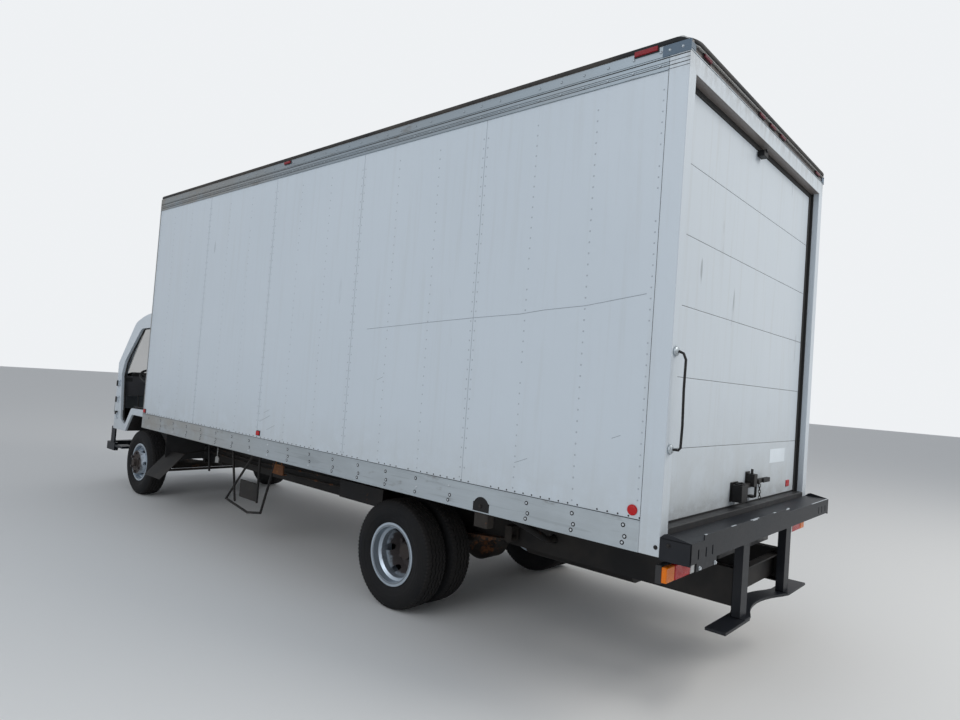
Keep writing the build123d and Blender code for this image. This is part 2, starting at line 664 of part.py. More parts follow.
def cab_envelope(inset):
    """The cab's closed outer form, moved inwards by inset on every side."""
    with BuildPart() as envelope:
        with BuildSketch(Plane.YZ):
            with BuildLine():
                FilletPolyline(*[(front_y + y, z) for y, z, r in cab_side], radius=[r for y, z, r in cab_side],
                               close=True)
            make_face()
            if inset:
                offset(amount=-inset, kind=Kind.INTERSECTION)
        extrude(amount=cab_half + 50, both=True)
        with BuildSketch(across(0)) as front_view:
            with BuildLine():
                Polyline((-cab_half, 600), (-cab_half, belt_z), (-cab_half + cab_lean, cab_roof_z + 10),
                         (cab_half - cab_lean, cab_roof_z + 10), (cab_half, belt_z), (cab_half, 600), close=True)
            make_face()
            fillet(front_view.vertices().group_by(Axis.Y)[-1], 90)
            if inset:
                offset(amount=-inset, kind=Kind.INTERSECTION)
        extrude(amount=overall_length, both=True, mode=Mode.INTERSECT)
        with BuildSketch(Plane.XY.offset(500)):
            with BuildLine():
                FilletPolyline(
                    (-cab_half, cab_rear_y), (-cab_half, front_y + 300), (-cab_half + 120, front_y + 150),
                    (0, front_y + 95),
                    (cab_half - 120, front_y + 150), (cab_half, front_y + 300), (cab_half, cab_rear_y),
                    radius=[30, 250, 180, 3000, 180, 250, 30], close=True)
            make_face()
            if inset:
                offset(amount=-inset, kind=Kind.INTERSECTION)
        extrude(amount=2000, mode=Mode.INTERSECT)
    return envelope.part


outer_form = cab_envelope(0)
grille_form = cab_envelope(grille_depth)
skin_form = cab_envelope(cab_skin)
lining_form = cab_envelope(cab_skin + face_gap)
door_form = cab_envelope(cab_skin + door_lip)
glass_outer_form = cab_envelope(glass_inset)
glass_inner_form = cab_envelope(glass_inset + glass_thickness)
lamp_form = cab_envelope(-lamp_proud)

door_outline = (
    # y from the front, z, corner radius
    (700, 800, 40), (560, 860, 60), (475, 1420, 120), (490, 1600, 60), (770, 2010, 90), (1440, 2040, 70),
    (1440, 1030, 60), (865, 1020, 60),
)
door_window = ((560, 1490, 30), (590, 1640, 60), (800, 1960, 60), (1370, 1985, 60), (1370, 1490, 40))


def side_face(outline, shrink=0):
    """A flat face on the YZ plane from an outline with corner radii."""
    with BuildSketch(Plane.YZ, mode=Mode.PRIVATE) as face:
        with BuildLine():
            FilletPolyline(*[(front_y + y, z) for y, z, r in outline], radius=[r for y, z, r in outline], close=True)
        make_face()
        if shrink:
            offset(amount=-shrink, kind=Kind.INTERSECTION)
    return face.sketch


windscreen_half = cab_half - 130
with BuildPart() as windscreen_cut:
    with BuildSketch(across(front_y)):
        with BuildLine():
            FilletPolyline((-windscreen_half, windscreen_bottom_z), (-windscreen_half + windscreen_corner, roof_split_z),
                           (windscreen_half - windscreen_corner, roof_split_z), (windscreen_half, windscreen_bottom_z),
                           radius=windscreen_corner, close=True)
        make_face()
    extrude(amount=-700)
rear_window_half = 420
with BuildPart() as rear_window_cut:
    with BuildSketch(across(cab_rear_y - 100)):
        with Locations((0, 1760)):
            RectangleRounded(2 * rear_window_half, 420, 60)
    extrude(amount=-200)

with BuildPart() as grille_cut:
    for index in range(grille_slots):
        slot_z = grille_bottom_z + index * grille_pitch
        block((-grille_half, grille_half), (front_y - 10, front_y + 200), (slot_z, slot_z + grille_slot_height))
    add(grille_form, mode=Mode.SUBTRACT)

with BuildPart() as cab_shell:
    add(outer_form)
    add(skin_form, mode=Mode.SUBTRACT)
    add(grille_cut.part, mode=Mode.SUBTRACT)
    add(windscreen_cut.part, mode=Mode.SUBTRACT)
    add(rear_window_cut.part, mode=Mode.SUBTRACT)
    extrude(side_face(door_outline), amount=cab_half + 60, both=True, mode=Mode.SUBTRACT)
    for side in (1, -1):
        ring_x = (side * (frame_half_width - 115), side * (frame_half_width - 75))
        rod((ring_x[0], cab_pivot_y, cab_pivot_z), (ring_x[1], cab_pivot_y, cab_pivot_z), cab_pin_radius + 13)
        block(sorted(ring_x), (cab_pivot_y - 20, cab_pivot_y + 20), (cab_pivot_z, cab_floor_z + 4))
        rod((side * (frame_half_width - 130), cab_pivot_y, cab_pivot_z),
            (side * (frame_half_width - 60), cab_pivot_y, cab_pivot_z), cab_pin_radius + face_gap,
            mode=Mode.SUBTRACT)
    for hinge_z in hinge_heights:
        for side in (1, -1):
            leaf_x = (side * (cab_half - 2), side * (hinge_x + hinge_radius))
            block(sorted(leaf_x), (hinge_y - 60, hinge_y), (hinge_z - hinge_half_height, hinge_z + hinge_half_height))
            for end in (1, -1):
                with Locations((side * hinge_x, hinge_y, hinge_z + end * (hinge_half_height - 7))):
                    Cylinder(hinge_radius, 14)
            with Locations((side * hinge_x, hinge_y, hinge_z)):
                Cylinder(hinge_radius + 2, 2 * hinge_half_height - 28, mode=Mode.SUBTRACT)

# The shell is split where its pressed panels meet: roof, front, back, floor and the two sides
wide_x = (-cab_half - 60, cab_half + 60)
low_z = cab_pivot_z - 60


def cab_panel(x, y, z):
    """The part of the shell between two limits on each axis."""
    with BuildPart() as panel:
        add(cab_shell.part)
        block(x, y, z, mode=Mode.INTERSECT)
    return panel.part


with BuildPart() as cab_roof:
    add(cab_panel(wide_x, (front_y, cab_rear_y + 1), (roof_split_z, cab_roof_z + 1)))
with BuildPart() as cab_front:
    add(cab_panel(wide_x, (front_y, front_split_y), (low_z, roof_split_z)))
with BuildPart() as cab_back:
    add(cab_panel(wide_x, (back_split_y, cab_rear_y + 1), (low_z, roof_split_z)))
with BuildPart() as cab_floor:
    add(cab_panel((-side_split_x, side_split_x), (front_split_y, back_split_y), (low_z, pillar_split_z)))
with BuildPart() as cab_sides:
    add(cab_panel(wide_x, (front_split_y, back_split_y), (low_z, roof_split_z)))
    block((-side_split_x, side_split_x), (front_split_y, back_split_y), (low_z, pillar_split_z), mode=Mode.SUBTRACT)

with BuildPart() as cab_glass:
    add(glass_outer_form)
    add(glass_inner_form, mode=Mode.SUBTRACT)
    with BuildPart(mode=Mode.PRIVATE) as panes:
        with BuildSketch(across(front_y)):
            with BuildLine():
                FilletPolyline((-windscreen_half + glass_gap, windscreen_bottom_z + glass_gap),
                               (-windscreen_half + windscreen_corner + glass_gap, roof_split_z - glass_gap),
                               (windscreen_half - windscreen_corner - glass_gap, roof_split_z - glass_gap),
                               (windscreen_half - glass_gap, windscreen_bottom_z + glass_gap),
                               radius=windscreen_corner, close=True)
            make_face()
        extrude(amount=-700)
        with BuildSketch(across(cab_rear_y - 100)):
            with Locations((0, 1760)):
                RectangleRounded(2 * (rear_window_half - glass_gap), 420 - 2 * glass_gap, 60)
        extrude(amount=-200)
    add(panes.part, mode=Mode.INTERSECT)

with BuildPart() as door_right:
    add(outer_form)
    add(door_form, mode=Mode.SUBTRACT)
    extrude(side_face(door_outline, moving_gap), amount=-(cab_half + 60), mode=Mode.INTERSECT)
    extrude(side_face(door_window), amount=-(cab_half + 60), mode=Mode.SUBTRACT)
    barrel_half = hinge_half_height - 14 - face_gap
    for hinge_z in hinge_heights:
        with Locations((-hinge_x, hinge_y, hinge_z)):
            Cylinder(hinge_radius, 2 * barrel_half)
        leaf_z = (hinge_z - barrel_half, hinge_z + barrel_half)
        block((-hinge_x - hinge_radius, -hinge_x + 3), (hinge_y, hinge_y + hinge_leaf), leaf_z)
        block((-hinge_x - hinge_radius, -cab_half + 2), (hinge_y + hinge_leaf - 20, hinge_y + hinge_leaf), leaf_z)

with BuildPart() as door_glass:
    add(glass_outer_form)
    add(glass_inner_form, mode=Mode.SUBTRACT)
    extrude(side_face(door_window, glass_gap), amount=-(cab_half + 60), mode=Mode.INTERSECT)

with BuildPart() as mirror_right:
    mirror_x = -(cab_half + 130)
    mirror_y = front_y + 470
    block((mirror_x - 80, mirror_x + 80), (mirror_y - 25, mirror_y + 25), (1560, 1880))
    rod((mirror_x, mirror_y, 1620), (-cab_half + 30, front_y + 640, 1440), 12)
    rod((mirror_x, mirror_y, 1820), (-cab_half + 30, front_y + 700, 1480), 12)
    add(outer_form, mode=Mode.SUBTRACT)

# Cab inside: seats, dashboard and steering wheel
seat_rows = (
    # centre x, half width
    (cab_half - 350, 235), (-cab_half + 430, 320),
)
seat_front_y = front_y + 1060
seat_base_z = cab_rear_floor_z + cab_skin + face_gap
with BuildPart() as seats:
    for seat_x, half_width in seat_rows:
        seat_span = (seat_x - half_width, seat_x + half_width)
        block(seat_span, (seat_front_y, seat_front_y + 500), (seat_base_z, 1240))
        block(seat_span, (seat_front_y + 370, seat_front_y + 500), (1200, 1780))

with BuildPart() as dashboard:
    block((-cab_half, cab_half), (front_y, front_y + 480), (1150, 1400))
    add(lining_form, mode=Mode.INTERSECT)
    extrude(side_face(door_outline, -moving_gap), amount=cab_half + 60, both=True, mode=Mode.SUBTRACT)

steering_radius = 220
with BuildPart() as steering_wheel:
    wheel_centre = Vector(cab_half - 350, front_y + 700, 1380)
    wheel_axis = Vector(0, 0.5, 0.866)
    with Locations(Plane(origin=wheel_centre, z_dir=wheel_axis)):
        Cylinder(steering_radius, 30)
        Cylinder(steering_radius - 28, 30, mode=Mode.SUBTRACT)
        Cylinder(55, 24)
        Box(2 * steering_radius - 20, 34, 14)
    rod(wheel_centre, wheel_centre - wheel_axis * 800, 24)
    add(lining_form, mode=Mode.INTERSECT)

with BuildPart() as cab_lamps:
    for side in (1, -1):
        block(sorted((side * 560, side * 800)), (front_y + 60, front_y + 180), (900, 1020))
        block(sorted((side * 880, side * (cab_half + 4))), (front_y + 100, front_y + 300), (924, 1056))
    add(outer_form, mode=Mode.SUBTRACT)
    add(lamp_form, mode=Mode.INTERSECT)

# Wheels: rim, disc, nuts, hub and drum in one piece, made on the left and mirrored


def wheel_plane(centre_x, centre_y):
    """A half section's plane: outwards is the sketch's first axis, the radius its second."""
    return Plane(origin=(centre_x, centre_y, tyre_radius), x_dir=(1, 0, 0), z_dir=(0, -1, 0))


def pressed_wheel(centre_x, centre_y, bulge):
    """A rim with its disc. bulge is 1 where the disc stands outwards and -1 where it is dished."""
    flange_x = rim_half_width + 6
    well = rim_radius - 22
    face_x = bulge * disc_offset
    with BuildPart() as piece:
        with BuildSketch(wheel_plane(centre_x, centre_y)):
            with BuildLine():
                Polyline(
                    (-flange_x, rim_flange_radius), (-rim_half_width, rim_flange_radius),
                    (-rim_half_width, rim_radius), (-40, rim_radius - 4), (-24, well),
                    (24, well), (40, rim_radius - 4), (rim_half_width, rim_radius),
                    (rim_half_width, rim_flange_radius), (flange_x, rim_flange_radius),
                    (flange_x, rim_radius - rim_metal), (44, rim_radius - rim_metal - 4),
                    (28, well - rim_metal), (-28, well - rim_metal),
                    (-44, rim_radius - rim_metal - 4), (-flange_x, rim_radius - rim_metal), close=True)
            make_face()
            with BuildLine():
                Polyline(
                    (bulge * 8, well - rim_metal / 2), (bulge * 24, well - rim_metal / 2),
                    (face_x, disc_flat_radius), (face_x, hub_radius - 6),
                    (face_x - bulge * disc_metal, hub_radius - 6),
                    (face_x - bulge * disc_metal, disc_flat_radius - 6), close=True)
            make_face()
        revolve(axis=Axis((centre_x, centre_y, tyre_radius), (1, 0, 0)))
        outside_x = centre_x + (face_x if bulge > 0 else face_x + disc_metal)
        with BuildSketch(Plane(origin=(centre_x + min(face_x, 0), centre_y, tyre_radius), z_dir=(1, 0, 0))):
            with PolarLocations(hand_hole_circle, hand_holes, start_angle=180 / hand_holes):
                SlotOverall(2 * hand_hole_radius + 18, 2 * hand_hole_radius, rotation=90)
        extrude(amount=disc_offset, mode=Mode.SUBTRACT)
        with BuildSketch(Plane(origin=(outside_x, centre_y, tyre_radius), z_dir=(1, 0, 0))):
            with PolarLocations(stud_circle, wheel_studs):
                RegularPolygon(nut_radius, 6)
        extrude(amount=nut_height)
    return piece.part


front_rim = pressed_wheel(front_wheel_x, front_axle_y, 1)
with BuildPart() as rim_front_left:
    add(front_rim)
    with BuildSketch(wheel_plane(front_wheel_x, front_axle_y)):
        with BuildLine():
            Polyline(
                (-drum_start, spindle_radius + face_gap), (-drum_start, drum_radius), (drum_end, drum_radius),
                (drum_end, hub_radius), (disc_offset + 6, hub_radius), (disc_offset + 10, hub_cap_radius),
                (disc_offset + hub_cap_length, hub_cap_radius - 6), (disc_offset + hub_cap_length, 0),
                (disc_offset - 20, 0), (disc_offset - 20, spindle_radius + face_gap), close=True)
        make_face()
    revolve(axis=Axis((front_wheel_x, front_axle_y, tyre_radius), (1, 0, 0)))

outer_rim = pressed_wheel(rear_outer_x, rear_axle_y, -1)
inner_rim = pressed_wheel(rear_inner_x, rear_axle_y, 1)
with BuildPart() as rims_rear_left:
    add(outer_rim)
    add(inner_rim)
    with BuildSketch(wheel_plane(dual_x, rear_axle_y)):
        with BuildLine():
            drum_back = -disc_offset - drum_start
            Polyline(
                (drum_back, rear_tube_radius + face_gap), (drum_back, drum_radius),
                (-disc_offset + drum_end, drum_radius), (-disc_offset + drum_end, hub_radius),
                (30, hub_radius), (60, hub_cap_radius + 12), (84, hub_cap_radius + 8), (84, 0),
                (drum_back + 60, 0), (drum_back + 60, rear_tube_radius + face_gap), close=True)
        make_face()
    revolve(axis=Axis((dual_x, rear_axle_y, tyre_radius), (1, 0, 0)))
with BuildPart() as rim_front_right:
    mirror(rim_front_left.part, about=Plane.YZ)
with BuildPart() as rims_rear_right:
    mirror(rims_rear_left.part, about=Plane.YZ)


def tyre(centre_x, centre_y):
    """A tyre as one ring with a flat tread, round shoulders and bulged walls."""
    half = tyre_width / 2
    bead = rim_radius + face_gap
    bead_x = rim_half_width - face_gap
    bead_top = rim_flange_radius + 2
    wall_middle = (bead_top + tyre_radius) / 2
    with BuildPart() as piece:
        with BuildSketch(wheel_plane(centre_x, centre_y)):
            with BuildLine():
                Polyline((-bead_x, bead_top), (-bead_x, bead), (bead_x, bead), (bead_x, bead_top))
                ThreePointArc((bead_x, bead_top), (half, wall_middle), (half - 16, tyre_radius - 22))
                ThreePointArc((half - 16, tyre_radius - 22), (half - 22, tyre_radius - 9),
                              (half - 38, tyre_radius - 3))
                ThreePointArc((half - 38, tyre_radius - 3), (0, tyre_radius), (-half + 38, tyre_radius - 3))
                ThreePointArc((-half + 38, tyre_radius - 3), (-half + 22, tyre_radius - 9),
                              (-half + 16, tyre_radius - 22))
                ThreePointArc((-half + 16, tyre_radius - 22), (-half, wall_middle), (-bead_x, bead_top))
            make_face()
        revolve(axis=Axis((centre_x, centre_y, tyre_radius), (1, 0, 0)))
    return piece.part


front_tyre = tyre(front_wheel_x, front_axle_y)
outer_tyre = tyre(rear_outer_x, rear_axle_y)
inner_tyre = tyre(rear_inner_x, rear_axle_y)
with BuildPart() as tyre_front_left:
    add(front_tyre)
with BuildPart() as tyres_rear_left:
    add(outer_tyre)
    add(inner_tyre)
with BuildPart() as tyre_front_right:
    mirror(tyre_front_left.part, about=Plane.YZ)
with BuildPart() as tyres_rear_right:
    mirror(tyres_rear_left.part, about=Plane.YZ)

# Steering knuckles with their spindles and arms, and the tie rod between the arms
upper_ear_z = tyre_radius + kingpin_eye_height / 2 + face_gap
lower_ear_z = tyre_radius - kingpin_eye_height / 2 - face_gap - knuckle_ear
spindle_end_x = front_wheel_x + disc_offset - 24
with BuildPart() as knuckle_left:
    for ear_z in (lower_ear_z, upper_ear_z):
        with Locations((kingpin_x, front_axle_y, ear_z + knuckle_ear / 2)):
            Cylinder(kingpin_eye_radius, knuckle_ear)
        block((kingpin_x, knuckle_web_x + knuckle_web),
              (front_axle_y - kingpin_eye_radius, front_axle_y + kingpin_eye_radius), (ear_z, ear_z + knuckle_ear))
    block((knuckle_web_x, knuckle_web_x + knuckle_web),
          (front_axle_y - kingpin_eye_radius, front_axle_y + kingpin_eye_radius),
          (lower_ear_z, upper_ear_z + knuckle_ear))
    rod((knuckle_web_x, front_axle_y, tyre_radius), (spindle_end_x, front_axle_y, tyre_radius), spindle_radius)
    block((kingpin_x - steer_arm_width / 2, kingpin_x + steer_arm_width / 2), (front_axle_y, steer_arm_y),
          (lower_ear_z, lower_ear_z + steer_arm_height))
    with Locations((kingpin_x, steer_arm_y, lower_ear_z + steer_arm_height / 2)):
        Cylinder(tie_eye_radius, steer_arm_height)
with BuildPart() as knuckle_right:
    mirror(knuckle_left.part, about=Plane.YZ)
tie_eye_top_z = lower_ear_z - face_gap
with BuildPart() as tie_rod:
    for side in (1, -1):
        with Locations((side * kingpin_x, steer_arm_y, tie_eye_top_z - tie_eye_height / 2)):
            Cylinder(tie_eye_radius, tie_eye_height)
    rod((-kingpin_x, steer_arm_y, tie_eye_top_z - tie_eye_height / 2),
        (kingpin_x, steer_arm_y, tie_eye_top_z - tie_eye_height / 2), tie_rod_radius)

export_pieces = (
    (frame, "frame"), (front_axle, "front_axle"), (rear_axle, "rear_axle"), (leaf_springs, "leaf_springs"),
    (engine_block, "engine_block"), (driveshaft, "driveshaft"), (fuel_tank, "fuel_tank"), (exhaust, "exhaust"),
    (under_hardware, "under_hardware"), (floor_sills, "floor_sills"), (load_floor, "load_floor"),
    (body_walls, "body_walls"),
    (body_rails, "body_rails"), (roof, "roof"), (rear_frame, "rear_frame"), (roll_door, "roll_door"),
    (door_hardware, "door_hardware"), (marker_lamps, "marker_lamps"), (step_bumper, "step_bumper"),
    (tail_lamps, "tail_lamps"), (front_bumper, "front_bumper"),
    (cab_roof, "cab_roof"), (cab_front, "cab_front"), (cab_back, "cab_back"), (cab_floor, "cab_floor"),
    (cab_sides, "cab_sides"), (cab_glass, "cab_glass"), (seats, "seats"), (dashboard, "dashboard"),
    (steering_wheel, "steering_wheel"), (cab_lamps, "cab_lamps"),
    (door_right, "door_right"), (door_glass, "door_glass"), (mirror_right, "mirror_right"),
    (knuckle_left, "knuckle_left"), (knuckle_right, "knuckle_right"), (tie_rod, "tie_rod"),
    (rim_front_left, "rim_front_left"), (rim_front_right, "rim_front_right"),
    (rims_rear_left, "rims_rear_left"), (rims_rear_right, "rims_rear_right"),
    (tyre_front_left, "tyre_front_left"), (tyre_front_right, "tyre_front_right"),
    (tyres_rear_left, "tyres_rear_left"), (tyres_rear_right, "tyres_rear_right"),
)
for piece, label in export_pieces:
    piece.part.label = label
    export_step(piece.part, f"parts/{label}.step")
    print(label, len(piece.part.solids()), "solids")
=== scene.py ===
# %% [markdown]
# A weathered box truck, dressed piece by piece.
# The CAD frame brings every solid at its real place and size. This lesson adds what a camera sees:
# paint and dirt, rivets, tread, lenses and trim. Every length is in metres. +X is the truck's left,
# -Y its front and +Z is up, with the ground at zero.

# %% Load the frame
import json
import math
import bmesh
import bpy
from mathutils import Matrix, Vector

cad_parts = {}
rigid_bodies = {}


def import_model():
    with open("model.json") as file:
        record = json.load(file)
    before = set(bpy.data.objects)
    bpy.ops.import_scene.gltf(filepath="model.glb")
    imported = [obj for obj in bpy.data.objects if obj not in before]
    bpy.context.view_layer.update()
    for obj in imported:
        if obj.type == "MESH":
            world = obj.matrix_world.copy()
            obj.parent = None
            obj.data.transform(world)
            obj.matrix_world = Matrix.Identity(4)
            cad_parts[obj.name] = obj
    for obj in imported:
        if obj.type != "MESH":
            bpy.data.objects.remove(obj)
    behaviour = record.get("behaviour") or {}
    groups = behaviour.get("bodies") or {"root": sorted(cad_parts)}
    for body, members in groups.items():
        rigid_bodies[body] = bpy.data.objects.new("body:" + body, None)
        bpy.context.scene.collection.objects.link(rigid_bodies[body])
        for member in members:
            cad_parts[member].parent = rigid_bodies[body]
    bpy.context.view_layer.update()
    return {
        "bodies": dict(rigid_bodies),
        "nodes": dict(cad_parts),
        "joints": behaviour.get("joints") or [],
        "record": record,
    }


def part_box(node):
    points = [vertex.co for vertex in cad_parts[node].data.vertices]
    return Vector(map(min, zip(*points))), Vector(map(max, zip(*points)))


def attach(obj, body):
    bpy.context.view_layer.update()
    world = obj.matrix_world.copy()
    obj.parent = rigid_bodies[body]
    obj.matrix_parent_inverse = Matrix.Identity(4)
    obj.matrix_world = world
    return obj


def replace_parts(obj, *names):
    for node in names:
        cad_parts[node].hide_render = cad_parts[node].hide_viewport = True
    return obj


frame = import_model()

# %% [markdown]
# The camera stands behind the truck's left rear corner, a little below the middle of the body, so
# the side runs away steeply. Its place and turn were solved from the corners of the body in the
# 960 by 720 photograph. A wide lens is what makes the rear corner loom.

# %% Camera
camera_place = (4.1996, 5.3046, 1.6641)
camera_turn = (1.6031, -0.0731, 2.2940)
camera_lens = 24.45
camera_data = bpy.data.cameras.new("camera")
camera_data.lens = camera_lens
camera_data.sensor_width = 36
camera_data.clip_end = 200
camera = bpy.data.objects.new("camera", camera_data)
camera.location = camera_place
camera.rotation_euler = camera_turn
bpy.context.collection.objects.link(camera)
bpy.context.scene.camera = camera
print("camera at", camera_place)

# %% [markdown]
# Shader maths reads best as ordinary expressions. One small class wraps the output of a node and
# turns plus, minus, times and the rest into Math nodes. Any other node comes from one method, which
# takes the node's type, its settings, and what goes into its sockets.


# %% A socket that understands arithmetic
class Flow:
    """An output of a node tree, used in Python expressions."""

    def __init__(self, tree, socket):
        self.tree = tree
        self.socket = socket

    def math(self, operation, *values):
        """One Math node with these values."""
        return node(self.tree, "ShaderNodeMath", {"operation": operation}, dict(enumerate(values)))

    def __add__(self, other):
        return self.math("ADD", self, other)

    def __radd__(self, other):
        return self.math("ADD", other, self)

    def __sub__(self, other):
        return self.math("SUBTRACT", self, other)

    def __rsub__(self, other):
        return self.math("SUBTRACT", other, self)

    def __mul__(self, other):
        return self.math("MULTIPLY", self, other)

    def __rmul__(self, other):
        return self.math("MULTIPLY", other, self)

    def above(self, edge, soft=0.05):
        """0 below the edge, 1 above it, with a soft step between."""
        return node(self.tree, "ShaderNodeMapRange", {"interpolation_type": "SMOOTHSTEP"},
                    {0: self, 1: edge - soft, 2: edge + soft, 3: 0.0, 4: 1.0})

    def below(self, edge, soft=0.05):
        """1 below the edge, 0 above it."""
        return 1 - self.above(edge, soft)


def node(tree, kind, settings=(), inputs=(), output=0):
    """Any node: its settings first, then a value or a link for each socket that is named."""
    made = tree.nodes.new(kind)
    for name, value in dict(settings).items():
        if name == "stops":
            while len(made.color_ramp.elements) < len(value):
                made.color_ramp.elements.new(0.5)
            for element, (place, colour) in zip(made.color_ramp.elements, value):
                element.position = place
                element.color = colour
        else:
            setattr(made, name, value)
    for key, value in dict(inputs).items():
        if isinstance(value, Flow):
            tree.links.new(value.socket, made.inputs[key])
        elif value is not None:
            made.inputs[key].default_value = value
    return Flow(tree, made.outputs[output])


print("socket arithmetic ready")

# %% [markdown]
# Every finish is built on one Principled shader. The Finish class keeps what most of them need: the
# object's own coordinates in metres, a few kinds of noise, a colour mix, and a last call that plugs
# the results in. All nodes sit untransformed at the origin, so object coordinates are truck
# coordinates, and one dirt line can run over many pieces without a break.


# %% A finish and its tools
class Finish:
    """A material under construction."""

    def __init__(self, name):
        self.material = bpy.data.materials.new(name)
        self.material.use_nodes = True
        self.tree = self.material.node_tree
        self.shader = self.tree.nodes["Principled BSDF"]
        self.place = node(self.tree, "ShaderNodeTexCoord", output=3)
        split = node(self.tree, "ShaderNodeSeparateXYZ", (), {0: self.place})
        axes = split.socket.node.outputs
        self.x, self.y, self.z = (Flow(self.tree, axes[index]) for index in range(3))

    def stretched(self, scale):
        """The coordinates, scaled differently along each axis."""
        return node(self.tree, "ShaderNodeVectorMath", {"operation": "MULTIPLY"},
                    {0: self.place, 1: scale})

    def noise(self, scale, detail=3.0, roughness=0.55, stretch=None):
        """Cloudy noise from 0 to 1, finer with a larger scale and drawn out along an axis by stretch."""
        where = self.stretched(stretch) if stretch else self.place
        return node(self.tree, "ShaderNodeTexNoise", (),
                    {"Vector": where, "Scale": scale, "Detail": detail, "Roughness": roughness})

    def mix(self, share, first, second):
        """A colour between two, by a share from 0 to 1."""
        return node(self.tree, "ShaderNodeMix", {"data_type": "RGBA"},
                    {0: share, 6: first, 7: second}, output=2)

    def bump(self, height, strength, distance=0.002):
        """A relief for the light only."""
        return node(self.tree, "ShaderNodeBump", (),
                    {"Strength": strength, "Distance": distance, "Height": height})

    def done(self, colour=None, roughness=None, metallic=None, normal=None, alpha=None, **fixed):
        """Plugs in what varies, and sets on the shader's own sockets what doesn't."""
        wired = {"Base Color": colour, "Roughness": roughness, "Metallic": metallic, "Normal": normal,
                 "Alpha": alpha}
        for socket, value in wired.items():
            if isinstance(value, Flow):
                self.tree.links.new(value.socket, self.shader.inputs[socket])
            elif value is not None:
                self.shader.inputs[socket].default_value = value
        for name, value in fixed.items():
            self.shader.inputs[name.replace("_", " ")].default_value = value
        return self.material


def rgb(red, green, blue):
    """An opaque colour."""
    return (red, green, blue, 1.0)


def over(first, second):
    """Where either mask is on."""
    return first.math("MAXIMUM", first, second)


print("finish tools ready")

# %% [markdown]
# The load body is white painted sheet, drawn a blue grey: the white carries painted shade. Years of
# rain leave faint vertical streaks, road spray leaves a warm grey veil that fades upwards, and
# loading leaves short scuffs. Streaks come from noise that is stretched along Z, scuffs from thin
# stretched cells, and the sheet's slight waviness from a very low bump.


# %% Painted body panels
def body_white(name, dirt_height, streaks, scuffs, extra=None, coat=0.0):
    """Weathered white, drawn blue grey as painted shade. Road dirt ends at a height in metres, and extra adds
    what one panel has alone.
    """
    f = Finish(name)
    # Painted shade: the white paint is drawn as a cool blue grey, and its patches a darker blue grey.
    white_in_blue_shade = rgb(0.63, 0.69, 0.745)
    veil = rgb(0.42, 0.42, 0.39)
    dark = rgb(0.10, 0.10, 0.11)
    patches = f.noise(0.9, 4.0)
    rain = f.noise(3.0, 5.0, 0.6, (7.0, 7.0, 0.35)).above(0.60, 0.12)
    splash = f.z.below(dirt_height, 0.35) * f.noise(5.0, 6.0, 0.7).above(0.42, 0.2)
    scratch_field = f.noise(9.0, 2.0, 0.4, (1.0, 1.0, 0.22)).above(0.735, 0.015)
    marks = scratch_field * f.noise(1.7, 2.0).above(0.52, 0.05)
    base = f.mix(patches * 0.5, white_in_blue_shade, rgb(0.54, 0.60, 0.655))
    base = f.mix(rain * streaks, base, veil)
    base = f.mix(splash * 0.35, base, veil)
    base = f.mix(marks * scuffs, base, dark)
    if extra:
        base = extra(f, base)
    waves = f.noise(1.3, 2.0, 0.5, (1.0, 1.0, 0.6))
    waves = waves + f.noise(4.2, 2.0, 0.5) * 0.16 + f.noise(120.0, 2.0) * 0.006
    rough = 0.27 + patches * 0.16 + splash * 0.25 + marks * 0.2
    return f.done(base, rough, 0.0, f.bump(waves, 0.6, 0.03), Coat_Weight=coat)


def sill_and_header(f, base):
    """The sill and the skirt are black below the door, the header is streaked brown, and painted shade darkens
    the header's underside and the band under the roof edge.
    """
    sill_top, skirt_top, trim_top = 1.020, 0.8795, 3.377
    soffit_foot, soffit_top, streak_foot = 3.270, 3.2790, 3.30
    grain = f.noise(24.0, 5.0, 0.7)
    across = f.x.math("ABSOLUTE", f.x)
    between_posts = across.below(1.1362, 0.0005)
    at_rear = f.y.above(3.8, 0.02)
    black = over(f.z.below(sill_top, 0.002) * between_posts, f.z.below(skirt_top, 0.001))
    # Painted shade: the header's downward face is darkened to a brown grey.
    soffit_shade = f.z.above(soffit_foot, 0.001) * f.z.below(soffit_top, 0.0006) * between_posts
    # Painted shade: the header above the trim, under the roof edge, is darkened nearly to black, with a grain.
    roof_edge_shade = f.z.above(trim_top, 0.004) * at_rear
    runs = f.noise(9.0, 5.0, 0.7, (2.2, 1.0, 0.5)).above(0.50, 0.12)
    streak = f.z.above(streak_foot, 0.07) * at_rear * runs
    base = f.mix(streak * 0.35, base, rgb(0.24, 0.22, 0.19))
    base = f.mix(soffit_shade, base, f.mix(grain, rgb(0.15, 0.125, 0.115), rgb(0.22, 0.20, 0.19)))
    soot_and_shade = f.mix(grain, rgb(0.022, 0.017, 0.016), rgb(0.070, 0.050, 0.042))
    base = f.mix(roof_edge_shade * (0.90 + grain * 0.10), base, soot_and_shade)
    return f.mix(black, base, f.mix(grain, rgb(0.010, 0.012, 0.016), rgb(0.035, 0.033, 0.032)))


def door_wear(f, base):
    """Slanting scrapes low on the door, and soot along the foot of it."""
    lean = f.x * 2.4 + f.z * 1.0
    drift = lean * 21.0 + f.noise(3.0, 3.0) * 2.0
    line = drift.math("FRACT", drift)
    thin = line.above(0.965, 0.02) * f.noise(6.0, 3.0, 0.5).above(0.60, 0.02) * f.z.below(1.75, 0.25)
    soot_and_shade = f.z.below(1.085, 0.035) * f.noise(11.0, 5.0, 0.7, (1.0, 1.0, 2.0)).above(0.44, 0.12)
    base = f.mix(soot_and_shade * 0.22, base, rgb(0.16, 0.15, 0.14))
    return f.mix(thin * 0.6, base, rgb(0.12, 0.13, 0.15))


